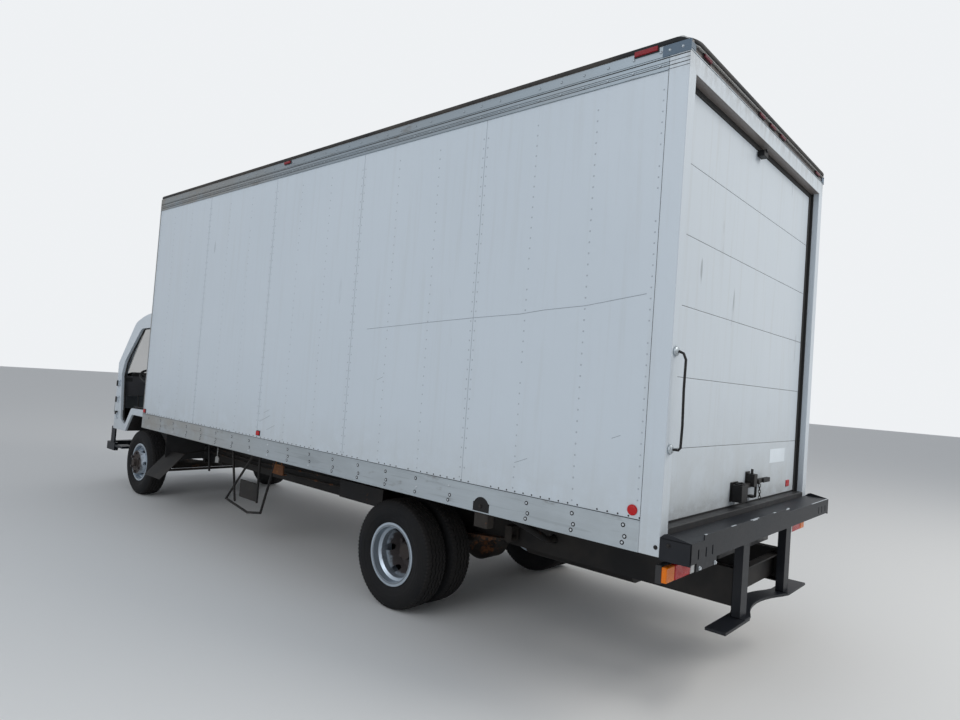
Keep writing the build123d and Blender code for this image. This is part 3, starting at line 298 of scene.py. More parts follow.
def underseal(f, base):
    """Outside panels are white. Whatever looks into the wheel arch is black underseal."""
    cab_side, arch_top = 0.972, 0.968
    inward = f.x.math("ABSOLUTE", f.x).below(cab_side, 0.004) * f.z.below(arch_top, 0.004)
    grain = f.noise(30.0, 4.0, 0.6)
    return f.mix(inward, base, f.mix(grain, rgb(0.008, 0.008, 0.009), rgb(0.030, 0.026, 0.023)))


side_paint = body_white("side_paint", 1.15, 0.10, 0.22)
door_paint = body_white("door_paint", 1.35, 0.16, 0.45, door_wear)
frame_paint = body_white("frame_paint", 1.15, 0.12, 0.35, sill_and_header)
cab_paint = body_white("cab_paint", 1.0, 0.10, 0.25, underseal, 0.35)
rivet_paint = body_white("rivet_paint", 1.15, 0.0, 0.0,
                         lambda f, base: f.mix(0.45, base, rgb(0.20, 0.22, 0.25)))
print("body paints ready")

# %% [markdown]
# The rails round the body are aluminium extrusions. They were brushed by the die along their
# length, and road grit has scratched and stained them since. The brushing is noise pulled out along
# Y, the stains are broad patches that take the shine off, and brown patches lie towards the front.


# %% Metals
def rail_metal(name, tint, grime):
    """Brushed aluminium with scratches, stains and brown patches towards the front. The top rails are darkened
    to a blue grey: painted shade.
    """
    top_rail_shade_z = 3.25
    f = Finish(name)
    brushed = f.noise(70.0, 5.0, 0.65, (1.0, 0.018, 1.0))
    lines = f.noise(38.0, 3.0, 0.5, (1.0, 0.045, 1.0)).above(0.63, 0.03)
    stains = f.noise(2.2, 5.0, 0.6, (1.0, 0.5, 1.0))
    deep = f.noise(9.0, 4.0, 0.6, (1.0, 0.35, 1.0)).above(0.66, 0.06)
    # Brown patches towards the front of the truck, less metallic and rougher.
    front_brown = f.y.below(-0.4, 1.5) * f.noise(4.0, 5.0, 0.65, (1.0, 0.6, 1.0)).above(0.44, 0.18)
    colour = f.mix(brushed * 0.6, tint, rgb(0.60, 0.66, 0.70))
    colour = f.mix(lines * 0.28, colour, rgb(0.26, 0.29, 0.31))
    # Painted shade: above 3.25 m the rails are darkened to a blue grey.
    colour = f.mix(f.z.above(top_rail_shade_z, 0.02) * 0.55, colour, rgb(0.17, 0.22, 0.265))
    colour = f.mix(stains.above(0.5, 0.16) * grime * 0.5, colour, rgb(0.30, 0.32, 0.33))
    colour = f.mix(deep * grime * 0.7, colour, rgb(0.15, 0.14, 0.13))
    colour = f.mix(front_brown * grime * 0.65, colour, rgb(0.30, 0.24, 0.17))
    rough = 0.30 + stains * 0.20 + brushed * 0.14 + front_brown * 0.2
    metal = 0.92 - over(deep * 0.5, front_brown * 0.5) * grime
    return f.done(colour, rough, metal, f.bump(brushed, 0.25, 0.0012))


def rusty_paint(name, paint, rust_edge, dust=0.25, gloss=0.42):
    """Dark paint that has gone through to rust in patches, under a coat of road dust."""
    f = Finish(name)
    big = f.noise(4.5, 6.0, 0.68)
    fine = f.noise(46.0, 5.0, 0.7)
    rust = (big + fine * 0.35).above(rust_edge, 0.05)
    rust_colour = f.mix(fine, rgb(0.055, 0.022, 0.012), rgb(0.23, 0.095, 0.040))
    grey = f.noise(2.0, 4.0, 0.6).above(0.5, 0.15) * dust
    colour = f.mix(rust, paint, rust_colour)
    colour = f.mix(grey, colour, rgb(0.20, 0.17, 0.14))
    rough = gloss + rust * 0.35 + grey * 0.3 + fine * 0.1
    return f.done(colour, rough, 0.0, f.bump(fine * rust + big * 0.2, 0.45, 0.003),
                  Specular_IOR_Level=0.28)


rail_aluminium = rail_metal("rail_aluminium", rgb(0.42, 0.46, 0.49), 0.75)
# Painted shade: a darker, bluer copy of the rail aluminium.
shaded_top_aluminium = rail_metal("shaded_top_aluminium", rgb(0.27, 0.33, 0.385), 0.30)
chassis_paint = rusty_paint("chassis_paint", rgb(0.007, 0.007, 0.008), 0.90, 0.10, 0.55)
axle_paint = rusty_paint("axle_paint", rgb(0.012, 0.010, 0.009), 0.80, 0.16, 0.6)
bare_rust = rusty_paint("bare_rust", rgb(0.05, 0.028, 0.018), 0.55, 0.2, 0.65)
bumper_paint = rusty_paint("bumper_paint", rgb(0.0045, 0.0068, 0.0115), 0.97, 0.03, 0.40)
lock_paint = rusty_paint("lock_paint", rgb(0.006, 0.006, 0.007), 0.92, 0.05, 0.42)
worn_steel = rail_metal("worn_steel", rgb(0.60, 0.63, 0.66), 0.25)
orange_rust = rusty_paint("orange_rust", rgb(0.30, 0.12, 0.03), 0.62, 0.1, 0.75)
print("metals ready")

# %% [markdown]
# Rubber is never black in daylight: the tread is worn matt and dusty, and the side wall shows a
# brown bloom. The dust is strongest on the tread, which is told from the wall by its distance from
# the axle. Each axle has its own centre, so the finish is made once for each.


# %% Rubber and wheel paint
def radius_from(f, axle_y, axle_z):
    """Distance from the axle's line."""
    across = (f.y - axle_y) * (f.y - axle_y) + (f.z - axle_z) * (f.z - axle_z)
    return across.math("SQRT", across)


def tyre_rubber(name, axle_y, axle_z, tread_radius):
    """Matt black with a dusty tread, told from the wall by its distance from the axle."""
    f = Finish(name)
    radius = radius_from(f, axle_y, axle_z)
    tread = radius.above(tread_radius - 0.016, 0.004)
    grain = f.noise(180.0, 3.0)
    bloom = f.noise(6.0, 5.0, 0.6)
    dust = bloom.above(0.45, 0.2) * 0.35 + tread * 0.35
    colour = f.mix(dust * 0.40, rgb(0.0045, 0.0052, 0.0068), rgb(0.048, 0.041, 0.035))
    return f.done(colour, 0.66 + bloom * 0.22, 0.0, f.bump(grain, 0.15, 0.0006),
                  Specular_IOR_Level=0.25)


def wheel_steel(name, axle_y, axle_z, rust_radius):
    """Silver paint on the rim, rust and grease round the hub, and a dark ring of painted shade in the rim's
    groove.
    """
    f = Finish(name)
    radius = radius_from(f, axle_y, axle_z)
    blotch = f.noise(14.0, 6.0, 0.7)
    rust = (radius.below(rust_radius, 0.04) + blotch * 0.9).above(0.92, 0.18)
    hub = radius.below(0.100, 0.012)
    # Painted shade: a dark ring between the rim's two bright bands.
    groove_shade = radius.above(0.196, 0.002) * radius.below(0.207, 0.002)
    silver = f.mix(blotch * 0.6, rgb(0.56, 0.63, 0.70), rgb(0.34, 0.40, 0.46))
    colour = f.mix(rust * 0.95, silver, rgb(0.026, 0.014, 0.010))
    colour = f.mix(hub * 0.75, colour, rgb(0.030, 0.020, 0.015))
    colour = f.mix(groove_shade * 0.7, colour, rgb(0.05, 0.06, 0.07))
    metal = 0.75 - over(over(rust, hub), groove_shade) * 0.7
    rough = 0.27 + blotch * 0.2 + over(rust, hub) * 0.35
    return f.done(colour, rough, metal, f.bump(blotch, 0.3, 0.0015))


front_axle_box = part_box("rim_front_left")
rear_axle_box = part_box("rims_rear_left")
front_axle_y = (front_axle_box[0][1] + front_axle_box[1][1]) / 2
rear_axle_y = (rear_axle_box[0][1] + rear_axle_box[1][1]) / 2
axle_z = (front_axle_box[0][2] + front_axle_box[1][2]) / 2
tyre_radius = axle_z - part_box("tyre_front_left")[0][2]
front_rubber = tyre_rubber("front_rubber", front_axle_y, axle_z, tyre_radius)
rear_rubber = tyre_rubber("rear_rubber", rear_axle_y, axle_z, tyre_radius)
front_steel = wheel_steel("front_steel", front_axle_y, axle_z, 0.140)
rear_steel = wheel_steel("rear_steel", rear_axle_y, axle_z, 0.164)
print("axles at y", round(front_axle_y, 3), round(rear_axle_y, 3), "tyre radius", round(tyre_radius, 3))

# %% [markdown]
# Lamps, glass, plastics, cloth and the floor's planks. A lens is a coat of clear colour over a
# ribbed moulding: the ribs are a wave in the bump. Glass is dark and half open, with a sharp
# reflection. Cloth has a fine crossed weave.


# %% Lenses, glass, plastic, cloth and wood
def lens(name, colour):
    """Clear colour over fine ribs. Lamps under the roof are darkened towards a deep red: painted shade."""
    roof_shade_from_z = 3.3
    f = Finish(name)
    ribs = node(f.tree, "ShaderNodeTexWave", {"bands_direction": "Z"},
                {"Vector": f.place, "Scale": 240.0, "Distortion": 0.0})
    grime = f.noise(30.0, 4.0, 0.6).above(0.55, 0.2)
    tint = f.mix(grime * 0.15, colour, rgb(0.06, 0.03, 0.03))
    # Painted shade: above 3.3 m, under the roof, the lens is darkened towards a deep red.
    tint = f.mix(f.z.above(roof_shade_from_z, 0.01) * 0.6, tint, rgb(0.09, 0.004, 0.016))
    return f.done(tint, 0.20 + grime * 0.3, 0.0, f.bump(ribs, 0.20, 0.0006),
                  Coat_Weight=0.1, Specular_IOR_Level=0.25)


def tinted_glass(name, colour, alpha):
    """Half-open glass with a faint smear."""
    f = Finish(name)
    smear = f.noise(3.0, 4.0, 0.6)
    return f.done(colour, 0.03 + smear * 0.10, 0.0, None, alpha + smear * 0.08, Coat_Weight=0.5)


def moulding(name, colour, grain_scale=260.0, roughness=0.55):
    """Grained plastic or rubber, paler where it is worn."""
    f = Finish(name)
    grain = f.noise(grain_scale, 3.0)
    wear = f.noise(5.0, 5.0, 0.6)
    tone = f.mix(wear * 0.4, colour, rgb(*[channel * 1.8 + 0.02 for channel in colour[:3]]))
    return f.done(tone, roughness + wear * 0.2, 0.0, f.bump(grain, 0.25, 0.0008))


def cloth(name, colour):
    """A crossed weave, from one wave along X and one along Y."""
    f = Finish(name)
    weft, warp = (node(f.tree, "ShaderNodeTexWave", {"bands_direction": way},
                       {"Vector": f.place, "Scale": 150.0, "Distortion": 1.0}) for way in ("X", "Y"))
    worn = f.noise(7.0, 5.0, 0.65)
    tone = f.mix(worn * 0.6, colour, rgb(*[channel * 1.7 + 0.02 for channel in colour[:3]]))
    return f.done(tone, 0.85, 0.0, f.bump(weft + warp, 0.3, 0.001), Sheen_Weight=0.25)


def planks(name):
    """Worn boards that run along the truck."""
    f = Finish(name)
    grain = f.noise(30.0, 6.0, 0.65, (1.0, 0.06, 1.0))
    board = node(f.tree, "ShaderNodeTexBrick", (), {"Vector": f.place, "Scale": 1.0, "Mortar Size": 0.004,
                 "Brick Width": 3.0, "Row Height": 0.14, 1: rgb(0.30, 0.20, 0.12), 2: rgb(0.36, 0.25, 0.15),
                 3: rgb(0.06, 0.04, 0.03)})
    tone = f.mix(grain * 0.5, board, rgb(0.16, 0.10, 0.06))
    return f.done(tone, 0.7 + grain * 0.2, 0.0, f.bump(grain, 0.4, 0.002))


red_lens = lens("red_lens", rgb(0.52, 0.006, 0.010))
amber_lens = lens("amber_lens", rgb(0.88, 0.20, 0.004))
clear_lens = lens("clear_lens", rgb(0.62, 0.63, 0.63))
# Painted shade: the header lamps' red is a darker copy of the red lens.
shaded_header_lens = lens("shaded_header_lens", rgb(0.16, 0.012, 0.020))
cab_tint = tinted_glass("cab_tint", rgb(0.05, 0.07, 0.065), 0.30)
black_plastic = moulding("black_plastic", rgb(0.016, 0.016, 0.017))
dash_plastic = moulding("dash_plastic", rgb(0.055, 0.055, 0.060), 180.0, 0.6)
liner_brown = moulding("liner_brown", rgb(0.085, 0.055, 0.040), 90.0, 0.8)
seal_rubber = moulding("seal_rubber", rgb(0.010, 0.010, 0.010), 120.0, 0.6)
seat_cloth = cloth("seat_cloth", rgb(0.075, 0.078, 0.085))
floor_planks = planks("floor_planks")
seam_grey = moulding("seam_grey", rgb(0.26, 0.29, 0.32), 60.0, 0.6)
# Painted shade: the aluminium corner caps are drawn a dark slate blue.
shaded_cap_metal = moulding("shaded_cap_metal", rgb(0.075, 0.115, 0.16), 60.0, 0.4)
underside_black = moulding("underside_black", rgb(0.010, 0.010, 0.011), 60.0, 0.75)
roof_sheet = rusty_paint("roof_sheet", rgb(0.50, 0.50, 0.49), 0.98, 0.55, 0.5)
print("lenses, glass and soft finishes ready")

# %% [markdown]
# Each CAD node that stays gets its finish here. The table names the finish and its nodes. The solid
# itself isn't touched: only what its material slots point to. The nodes that aren't in it are replaced
# further down by meshes with more detail.

# %% Dress the frame
dress = {
    side_paint: ("body_walls",),
    rail_aluminium: ("body_rails",),
    chassis_paint: ("frame", "floor_sills", "under_hardware", "fuel_tank"),
    underside_black: ("cab_floor",),
    axle_paint: ("front_axle", "rear_axle", "leaf_springs", "driveshaft", "engine_block",
                 "knuckle_left", "knuckle_right", "tie_rod"),
    bare_rust: ("exhaust",),
    floor_planks: ("load_floor",),
    cab_paint: ("cab_roof", "cab_front", "cab_back", "cab_sides", "door_right"),
    cab_tint: ("cab_glass", "door_glass"),
    dash_plastic: ("dashboard",),
    black_plastic: ("mirror_right",),
    clear_lens: ("cab_lamps",),
    front_steel: ("rim_front_left", "rim_front_right"),
    rear_steel: ("rims_rear_left", "rims_rear_right"),
}
dressed = 0
for finish, names in dress.items():
    for name in names:
        for material_slot in frame["nodes"][name].material_slots:
            material_slot.material = finish
        dressed += 1
print(dressed, "nodes dressed")

# %% [markdown]
# New pieces are ordinary meshes. One helper turns points and faces into an object with its finish,
# a small bevel that catches the light, and its body. The others add a form to a mesh under
# construction: boxes, bars, prisms, turned forms, bent tubes and links. What belongs together is
# gathered in one mesh, because a hundred little objects are slower than one.


# %% Mesh helpers
def settle(bm, name, body, slot, finish, bevel=0.0, smooth=True, angle=35.0):
    """Closes a mesh under construction and hands it to the frame."""
    bmesh.ops.recalc_face_normals(bm, faces=bm.faces)
    mesh = bpy.data.meshes.new(name)
    bm.to_mesh(mesh)
    bm.free()
    if smooth:
        mesh.shade_smooth()
        mesh.set_sharp_from_angle(angle=math.radians(angle))
    mesh.materials.append(finish)
    piece = bpy.data.objects.new(name, mesh)
    bpy.context.collection.objects.link(piece)
    if bevel:
        rounding = piece.modifiers.new("rounding", "BEVEL")
        rounding.width = bevel
        rounding.segments = 2
        rounding.limit_method = "ANGLE"
        rounding.angle_limit = math.radians(40)
    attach(piece, body)
    return piece


def add_box(bm, low, high):
    """A box between two corners."""
    low, high = Vector(low), Vector(high)
    size = Matrix.Diagonal((*(high - low), 1.0))
    bmesh.ops.create_cube(bm, size=1.0, matrix=Matrix.Translation((low + high) / 2) @ size)


def add_boxes(bm, rows, side=1, across=0.0, back=0.0, up=0.0):
    """A box for each row of x, y and z, from and to. Rows are measured from across, back and up."""
    for x0, x1, y0, y1, z0, z1 in rows:
        xs = sorted((side * (across + x0), side * (across + x1)))
        add_box(bm, (xs[0], back + y0, up + z0), (xs[1], back + y1, up + z1))


def add_bar(bm, start, end, radius, sides=10, end_radius=None):
    """A round bar or cone from one point to another."""
    start, end = Vector(start), Vector(end)
    run = end - start
    spin = run.to_track_quat("Z", "Y").to_matrix().to_4x4()
    place = Matrix.Translation((start + end) / 2) @ spin
    bmesh.ops.create_cone(bm, cap_ends=True, segments=sides, radius1=radius,
                          radius2=radius if end_radius is None else end_radius,
                          depth=run.length, matrix=place)


def join_rings(bm, rings, closed=False):
    """Faces from each ring of points to the next, and from the last to the first if it is closed."""
    for ring, ahead in zip(rings, rings[1:] + rings[:1] if closed else rings[1:]):
        for corner in range(len(ring)):
            after = (corner + 1) % len(ring)
            bm.faces.new((ring[corner], ring[after], ahead[after], ahead[corner]))
    if not closed:
        bm.faces.new(rings[0][::-1])
        bm.faces.new(rings[-1])


def add_prism(bm, outline, low, high, axis=0):
    """A flat outline drawn on the two other axes and drawn out along one."""
    def corner(level, pair):
        point = list(pair)
        point.insert(axis, level)
        return point
    join_rings(bm, [[bm.verts.new(corner(level, pair)) for pair in outline] for level in (low, high)])


def add_turned(bm, profile, centre, steps, side=1, backwards=False):
    """A closed profile of (outwards, radius) points spun about a line across, or along, the truck."""
    cx, cy, cz = centre
    rings = []
    for step in range(steps):
        angle = 2 * math.pi * step / steps
        ring = []
        for out, radius in profile:
            level, height = radius * math.cos(angle), radius * math.sin(angle)
            flat = (cx + level, cy + out) if backwards else (cx + side * out, cy + level)
            ring.append(bm.verts.new((*flat, cz + height)))
        rings.append(ring)
    join_rings(bm, rings, closed=True)


def settle_boxes(rows, name, body, slot, finish, both_sides=False, back=0.0, **looks):
    """One piece made of nothing but boxes, on one side or on both."""
    bm = bmesh.new()
    for side in (1, -1) if both_sides else (1,):
        add_boxes(bm, rows, side, back=back)
    return settle(bm, name, body, slot, finish, **looks)


def ring_about(bm, centre, first_way, second_way, radius, sides):
    """A ring of points about a centre, in the plane of two directions."""
    turns = [2 * math.pi * step / sides for step in range(sides)]
    return [bm.verts.new(centre + (first_way * math.cos(turn) + second_way * math.sin(turn)) * radius)
            for turn in turns]


def add_tube(bm, path, radius, sides=10):
    """A round tube along a path of straight runs, with its joints shared and its ends closed."""
    points = [Vector(point) for point in path]
    rings = []
    side_way = None
    for index, point in enumerate(points):
        before, after = points[max(index - 1, 0)], points[min(index + 1, len(points) - 1)]
        along = (after - before).normalized()
        if side_way is None:
            side_way = along.orthogonal().normalized()
        side_way = (side_way - along * side_way.dot(along)).normalized()
        rings.append(ring_about(bm, point, side_way, along.cross(side_way), radius, sides))
    join_rings(bm, rings)


def add_link(bm, centre, long_way, wide_way, half_long, half_wide, wire, steps=12, sides=6):
    """One oval link, or a round rim, in the plane of its two directions."""
    long_way, wide_way = Vector(long_way).normalized(), Vector(wide_way).normalized()
    out_way = long_way.cross(wide_way)
    rings = []
    for step in range(steps):
        angle = 2 * math.pi * step / steps
        along, across = long_way * math.cos(angle), wide_way * math.sin(angle)
        spine = Vector(centre) + along * half_long + across * half_wide
        rings.append(ring_about(bm, spine, (along + across).normalized(), out_way, wire, sides))
    join_rings(bm, rings, closed=True)


print("mesh helpers ready")

# %% [markdown]
# Rivets are what makes a van body look real, and there are thousands. Python only says where they
# go: it makes a mesh of bare points. A Geometry Nodes tree puts a low cone on each point, turns it
# to face outwards and drops a few at random, as old bodies lose some. Its inputs are named, so the
# same tree serves small flush rivets and larger domed ones.


# %% Rivet tree
def rivet_tree():
    """The node tree that puts a rivet on each point."""
    tree = bpy.data.node_groups.new("rivet_rows", "GeometryNodeTree")
    face = tree.interface
    face.new_socket(name="Points", in_out="INPUT", socket_type="NodeSocketGeometry")
    for label, value in (("Radius", 0.006), ("Height", 0.002), ("Missing", 0.0)):
        face.new_socket(name=label, in_out="INPUT", socket_type="NodeSocketFloat").default_value = value
    face.new_socket(name="Facing", in_out="INPUT", socket_type="NodeSocketVector")
    face.new_socket(name="Seed", in_out="INPUT", socket_type="NodeSocketInt").default_value = 7
    face.new_socket(name="Finish", in_out="INPUT", socket_type="NodeSocketMaterial")
    face.new_socket(name="Rivets", in_out="OUTPUT", socket_type="NodeSocketGeometry")
    into, out = tree.nodes.new("NodeGroupInput"), tree.nodes.new("NodeGroupOutput")
    given = {socket.name: Flow(tree, socket) for socket in into.outputs if socket.name}
    shoulder = given["Radius"] * 0.6
    head = node(tree, "GeometryNodeMeshCone", {"fill_type": "NGON"},
                {"Vertices": 8, "Radius Top": shoulder, "Radius Bottom": given["Radius"],
                 "Depth": given["Height"]})
    chance = node(tree, "FunctionNodeRandomValue", {"data_type": "FLOAT"},
                  {2: 0.0, 3: 1.0, "Seed": given["Seed"]}, output=1)
    kept = node(tree, "FunctionNodeCompare", {"data_type": "FLOAT", "operation": "GREATER_EQUAL"},
                {0: chance, 1: given["Missing"]})
    turn = node(tree, "FunctionNodeEulerToRotation", (), {0: given["Facing"]})
    placed = node(tree, "GeometryNodeInstanceOnPoints", (),
                  {"Points": given["Points"], "Selection": kept, "Instance": head, "Rotation": turn})
    real = node(tree, "GeometryNodeRealizeInstances", (), {0: placed})
    dressed_rivets = node(tree, "GeometryNodeSetMaterial", (), {0: real, "Material": given["Finish"]})
    tree.links.new(dressed_rivets.socket, out.inputs[0])
    return tree


rivet_rows = rivet_tree()
print("rivet tree has", len(rivet_rows.nodes), "nodes")

# %% [markdown]
# The modifier's inputs are set by identifier before the object is first evaluated. The evaluated
# result becomes a plain mesh, and the modifier goes with the object that carried it.


# %% Rivets from points
facings = {"left": (0, math.pi / 2, 0), "right": (0, -math.pi / 2, 0), "rear": (-math.pi / 2, 0, 0),
           "front": (math.pi / 2, 0, 0), "up": (0, 0, 0)}


def rivets(name, points, facing, body, finish, radius, height, missing, seed):
    """One piece with a rivet on each point, less the share that is missing."""
    carrier_mesh = bpy.data.meshes.new(name + "_points")
    carrier_mesh.from_pydata(points, [], [])
    carrier = bpy.data.objects.new(name + "_points", carrier_mesh)
    bpy.context.collection.objects.link(carrier)
    grower = carrier.modifiers.new("rivets", "NODES")
    grower.node_group = rivet_rows
    values = {"Radius": radius, "Height": height, "Missing": missing, "Facing": facings[facing],
              "Seed": seed, "Finish": finish}
    for socket in rivet_rows.interface.items_tree:
        if socket.in_out == "INPUT" and socket.name in values:
            grower[socket.identifier] = values[socket.name]
    graph = bpy.context.evaluated_depsgraph_get()
    grown = bpy.data.meshes.new_from_object(carrier.evaluated_get(graph))
    bpy.data.objects.remove(carrier)
    piece = bpy.data.objects.new(name, grown)
    bpy.context.collection.objects.link(piece)
    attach(piece, body)
    print(name, len(points), "rivets,", len(grown.polygons), "faces")
    return piece


# %% [markdown]
# The body's posts stand every 404.5 mm, and the skin is riveted to each. Every third line is also a
# seam between two sheets, with a second row beside it and a fine joint. The lines are counted
# forwards from the flange of the rear frame.

# %% Side wall rivets and seams
rear_low, rear_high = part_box("rear_frame")
wall_low, wall_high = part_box("body_walls")
rail_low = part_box("body_rails")[0]
rear_y = rear_high[1]
skin_x = wall_high[0]
rail_x = rear_high[0]
rail_bottom_z = rail_low[2]
wall_front_y = rail_low[1] + 0.045
rail_top_z = 1.035
top_rail_z = 3.299
flange_y = rear_low[1]
post_pitch = 0.4045
rivet_pitch = 0.0605
seam_every = 3
head_proud = 0.0011
line_count = int((flange_y - wall_front_y) / post_pitch)
row_count = int((top_rail_z - rail_top_z - 0.04) / rivet_pitch)
for side, facing in ((1, "left"), (-1, "right")):
    spots = []
    for line in range(1, line_count + 1):
        y = flange_y - line * post_pitch
        columns = (y - 0.018, y + 0.018) if line % seam_every == 0 else (y,)
        spots += [(side * (skin_x + head_proud * 0.5), column, rail_top_z + 0.03 + row * rivet_pitch)
                  for column in columns for row in range(row_count)]
    rivets("side_rivets_" + facing, spots, facing, "chassis", rivet_paint,
           0.0055, head_proud, 0.02, 11)
seams = bmesh.new()
for side in (1, -1):
    for line in range(seam_every, line_count + 1, seam_every):
        y = flange_y - line * post_pitch
        add_box(seams, (side * skin_x - 0.0004, y - 0.0015, rail_top_z),
                (side * skin_x + 0.0004, y + 0.0015, top_rail_z))
settle(seams, "side_seams", "chassis", "hardware_black", seam_grey, smooth=False)
print(line_count, "post lines on each side")

# %% [markdown]
# The bottom rail is fastened in little columns every foot, three deep, and along its upper edge.
# The top rail has one row. Galvanised heads are bright against the stained extrusion, and each head on the
# bottom rail sits on a dark disc of painted shadow.

# %% Rail rivets
column_pitch = 0.305
filler_y, filler_z, filler_radius = 2.754, 0.912, 0.062
filler_clear = 0.080
for side, facing in ((1, "left"), (-1, "right")):
    spots = []
    column = flange_y - 0.09
    while column > wall_front_y + 0.04:
        for row, z in enumerate((rail_bottom_z + 0.030, rail_bottom_z + 0.062, rail_bottom_z + 0.118)):
            spots.append((side * (rail_x + 0.001), column + 0.012 * (row % 2), z))
        column -= column_pitch
    count = int((flange_y - wall_front_y) / (column_pitch / 2))
    spots += [(side * (rail_x + 0.001), flange_y - 0.05 - index * column_pitch / 2, top_rail_z + above)
              for above in (0.030, 0.100) for index in range(count)]
    spots = [spot for spot in spots
             if side < 0 or spot[2] > rail_top_z or abs(spot[1] - filler_y) > filler_clear]
    rivets("rail_rivets_" + facing, spots, facing, "chassis", worn_steel,
           0.0080, 0.0030, 0.03, 5)
    # Painted shadow: a flat dark disc round each head on the bottom rail stands in for the heads' shadows.
    shadowed_spots = [spot for spot in spots if spot[2] < rail_top_z]
    rivets("rail_stains_" + facing, shadowed_spots, facing, "chassis", lock_paint,
           0.0125, 0.0011, 0.20, 5)

# %% [markdown]
# The rear end is close to the camera, and the photograph shows it a little slimmer than the plain
# solids: narrow posts, a door set deep between them, a bumper whose left corner alone reaches down, and
# a roof sheet that droops over the header. These meshes replace the solids at the measured places.

# %% Rear end
def add_plate(bm, xs, zs, low_y, high_y, holes=()):
    """An upright plate in cells, with some left out. Neighbouring cells share their corners."""
    kept = {(i, j) for i in range(len(xs) - 1) for j in range(len(zs) - 1)} - set(holes)
    corners = {}

    def corner(i, j, y):
        if (i, j, y) not in corners:
            corners[(i, j, y)] = bm.verts.new((xs[i], y, zs[j]))
        return corners[(i, j, y)]

    for i, j in sorted(kept):
        ring = ((i, j), (i + 1, j), (i + 1, j + 1), (i, j + 1))
        bm.faces.new([corner(a, b, high_y) for a, b in ring])
        bm.faces.new([corner(a, b, low_y) for a, b in reversed(ring)])
        sides = ((i, j - 1), (i + 1, j), (i, j + 1), (i - 1, j))
        for (a, b), (c, d), beyond in zip(ring, ring[1:] + ring[:1], sides):
            if beyond not in kept:
                bm.faces.new((corner(a, b, high_y), corner(a, b, low_y),
                              corner(c, d, low_y), corner(c, d, high_y)))


door_y = rear_y - 0.060
door_half = rail_x - 0.083
sill_z = 1.010
header_z = 3.278
skirt_half, skirt_z = 0.425, 0.748
bm = bmesh.new()
add_plate(bm, (-rail_x, -door_half, door_half, rail_x), (rail_bottom_z, sill_z, header_z, rear_high[2]),
          flange_y, rear_y, ((1, 1),))
add_plate(bm, (-skirt_half, skirt_half), (skirt_z, rail_bottom_z - 0.0004), rear_y - 0.020, rear_y - 0.008)
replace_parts(settle(bm, "rear_portal", "chassis", "body_white", frame_paint, bevel=0.003), "rear_frame")

bm = bmesh.new()
door_foot_z, door_head_z = sill_z + 0.008, header_z - 0.032
panel_count = 6
panel_height = (door_head_z - door_foot_z) / panel_count
panel_half, panel_thick, panel_gap = door_half - 0.008, 0.022, 0.0004
for panel in range(panel_count):
    low_z = door_foot_z + panel * panel_height
    add_box(bm, (-panel_half, door_y - panel_thick, low_z + panel_gap),
            (panel_half, door_y, low_z + panel_height - panel_gap))
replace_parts(settle(bm, "door_panels", "chassis", "body_white", door_paint, bevel=0.003), "roll_door")

bumper_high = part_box("step_bumper")[1]
lip_y = bumper_high[1]
deck_z = 0.978
plate = 0.006
lip_height = 0.025
step_top_z = 0.450
slot_x = (0.964, 1.043, 1.134)
slot_half = 0.006
corner_x = (0.905, 1.150)
lip_x = (-0.270, 1.070)
slot_edges = [side * (x + out) for side in (1, -1) for x in slot_x for out in (-slot_half, slot_half)]
face_x = sorted([-rail_x, *lip_x, *corner_x, rail_x] + slot_edges)
face_z = (0.838, 0.878, 0.895, 0.941, deck_z, deck_z + lip_height)
corner_row, slot_row, lip_row = 0, 2, 4
gaps = []
for i in range(len(face_x) - 1):
    middle = (face_x[i] + face_x[i + 1]) / 2
    if not corner_x[0] < middle < corner_x[1]:
        gaps.append((i, corner_row))
    if min(abs(abs(middle) - x) for x in slot_x) < slot_half:
        gaps.append((i, slot_row))
    if not lip_x[0] < middle < lip_x[1]:
        gaps.append((i, lip_row))
bm = bmesh.new()
add_plate(bm, face_x, face_z, lip_y - plate, lip_y, gaps)
deck_front_y = rear_y + 0.0003
add_box(bm, (-rail_x, deck_front_y, deck_z - plate), (rail_x, lip_y - plate + 0.001, deck_z))
side_foot_z = 0.870
side_outline = ((deck_front_y, side_foot_z), (deck_front_y, deck_z), (rear_y + 0.020, 0.996),
                (rear_y + 0.035, 1.001), (rear_y + 0.050, 0.999), (lip_y, deck_z), (lip_y, side_foot_z))
post_x = (0.336, 0.436)
post_rows = (
    # x, y back from the lip and z, each from and to: the post and the plate at its foot
    (*post_x, -0.080, -0.030, step_top_z - plate, deck_z - plate),
    (*post_x, -0.080, -0.002, step_top_z - 0.004, step_top_z + 0.004),
)
for side in (1, -1):
    xs = sorted((side * rail_x, side * (rail_x - plate)))
    add_prism(bm, side_outline, xs[0], xs[1])
    add_boxes(bm, post_rows, side, back=lip_y)
stations = 24
step_half, step_depth, step_bow, step_thick = 0.720, 0.112, 0.080, 0.016
step_rings = []
for index in range(stations + 1):
    x = step_half * (2 * index / stations - 1)
    edge_y = lip_y - step_bow * max(0.0, 1 - (x / post_x[0]) ** 2)
    profile = ((edge_y, step_top_z - step_thick), (edge_y, step_top_z), (edge_y - step_depth, step_top_z),
               (edge_y - step_depth, step_top_z - step_thick))
    step_rings.append([bm.verts.new((x, y, z)) for y, z in profile])
join_rings(bm, step_rings)
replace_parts(settle(bm, "rear_bumper", "chassis", "chassis_black", bumper_paint, bevel=0.0015), "step_bumper")

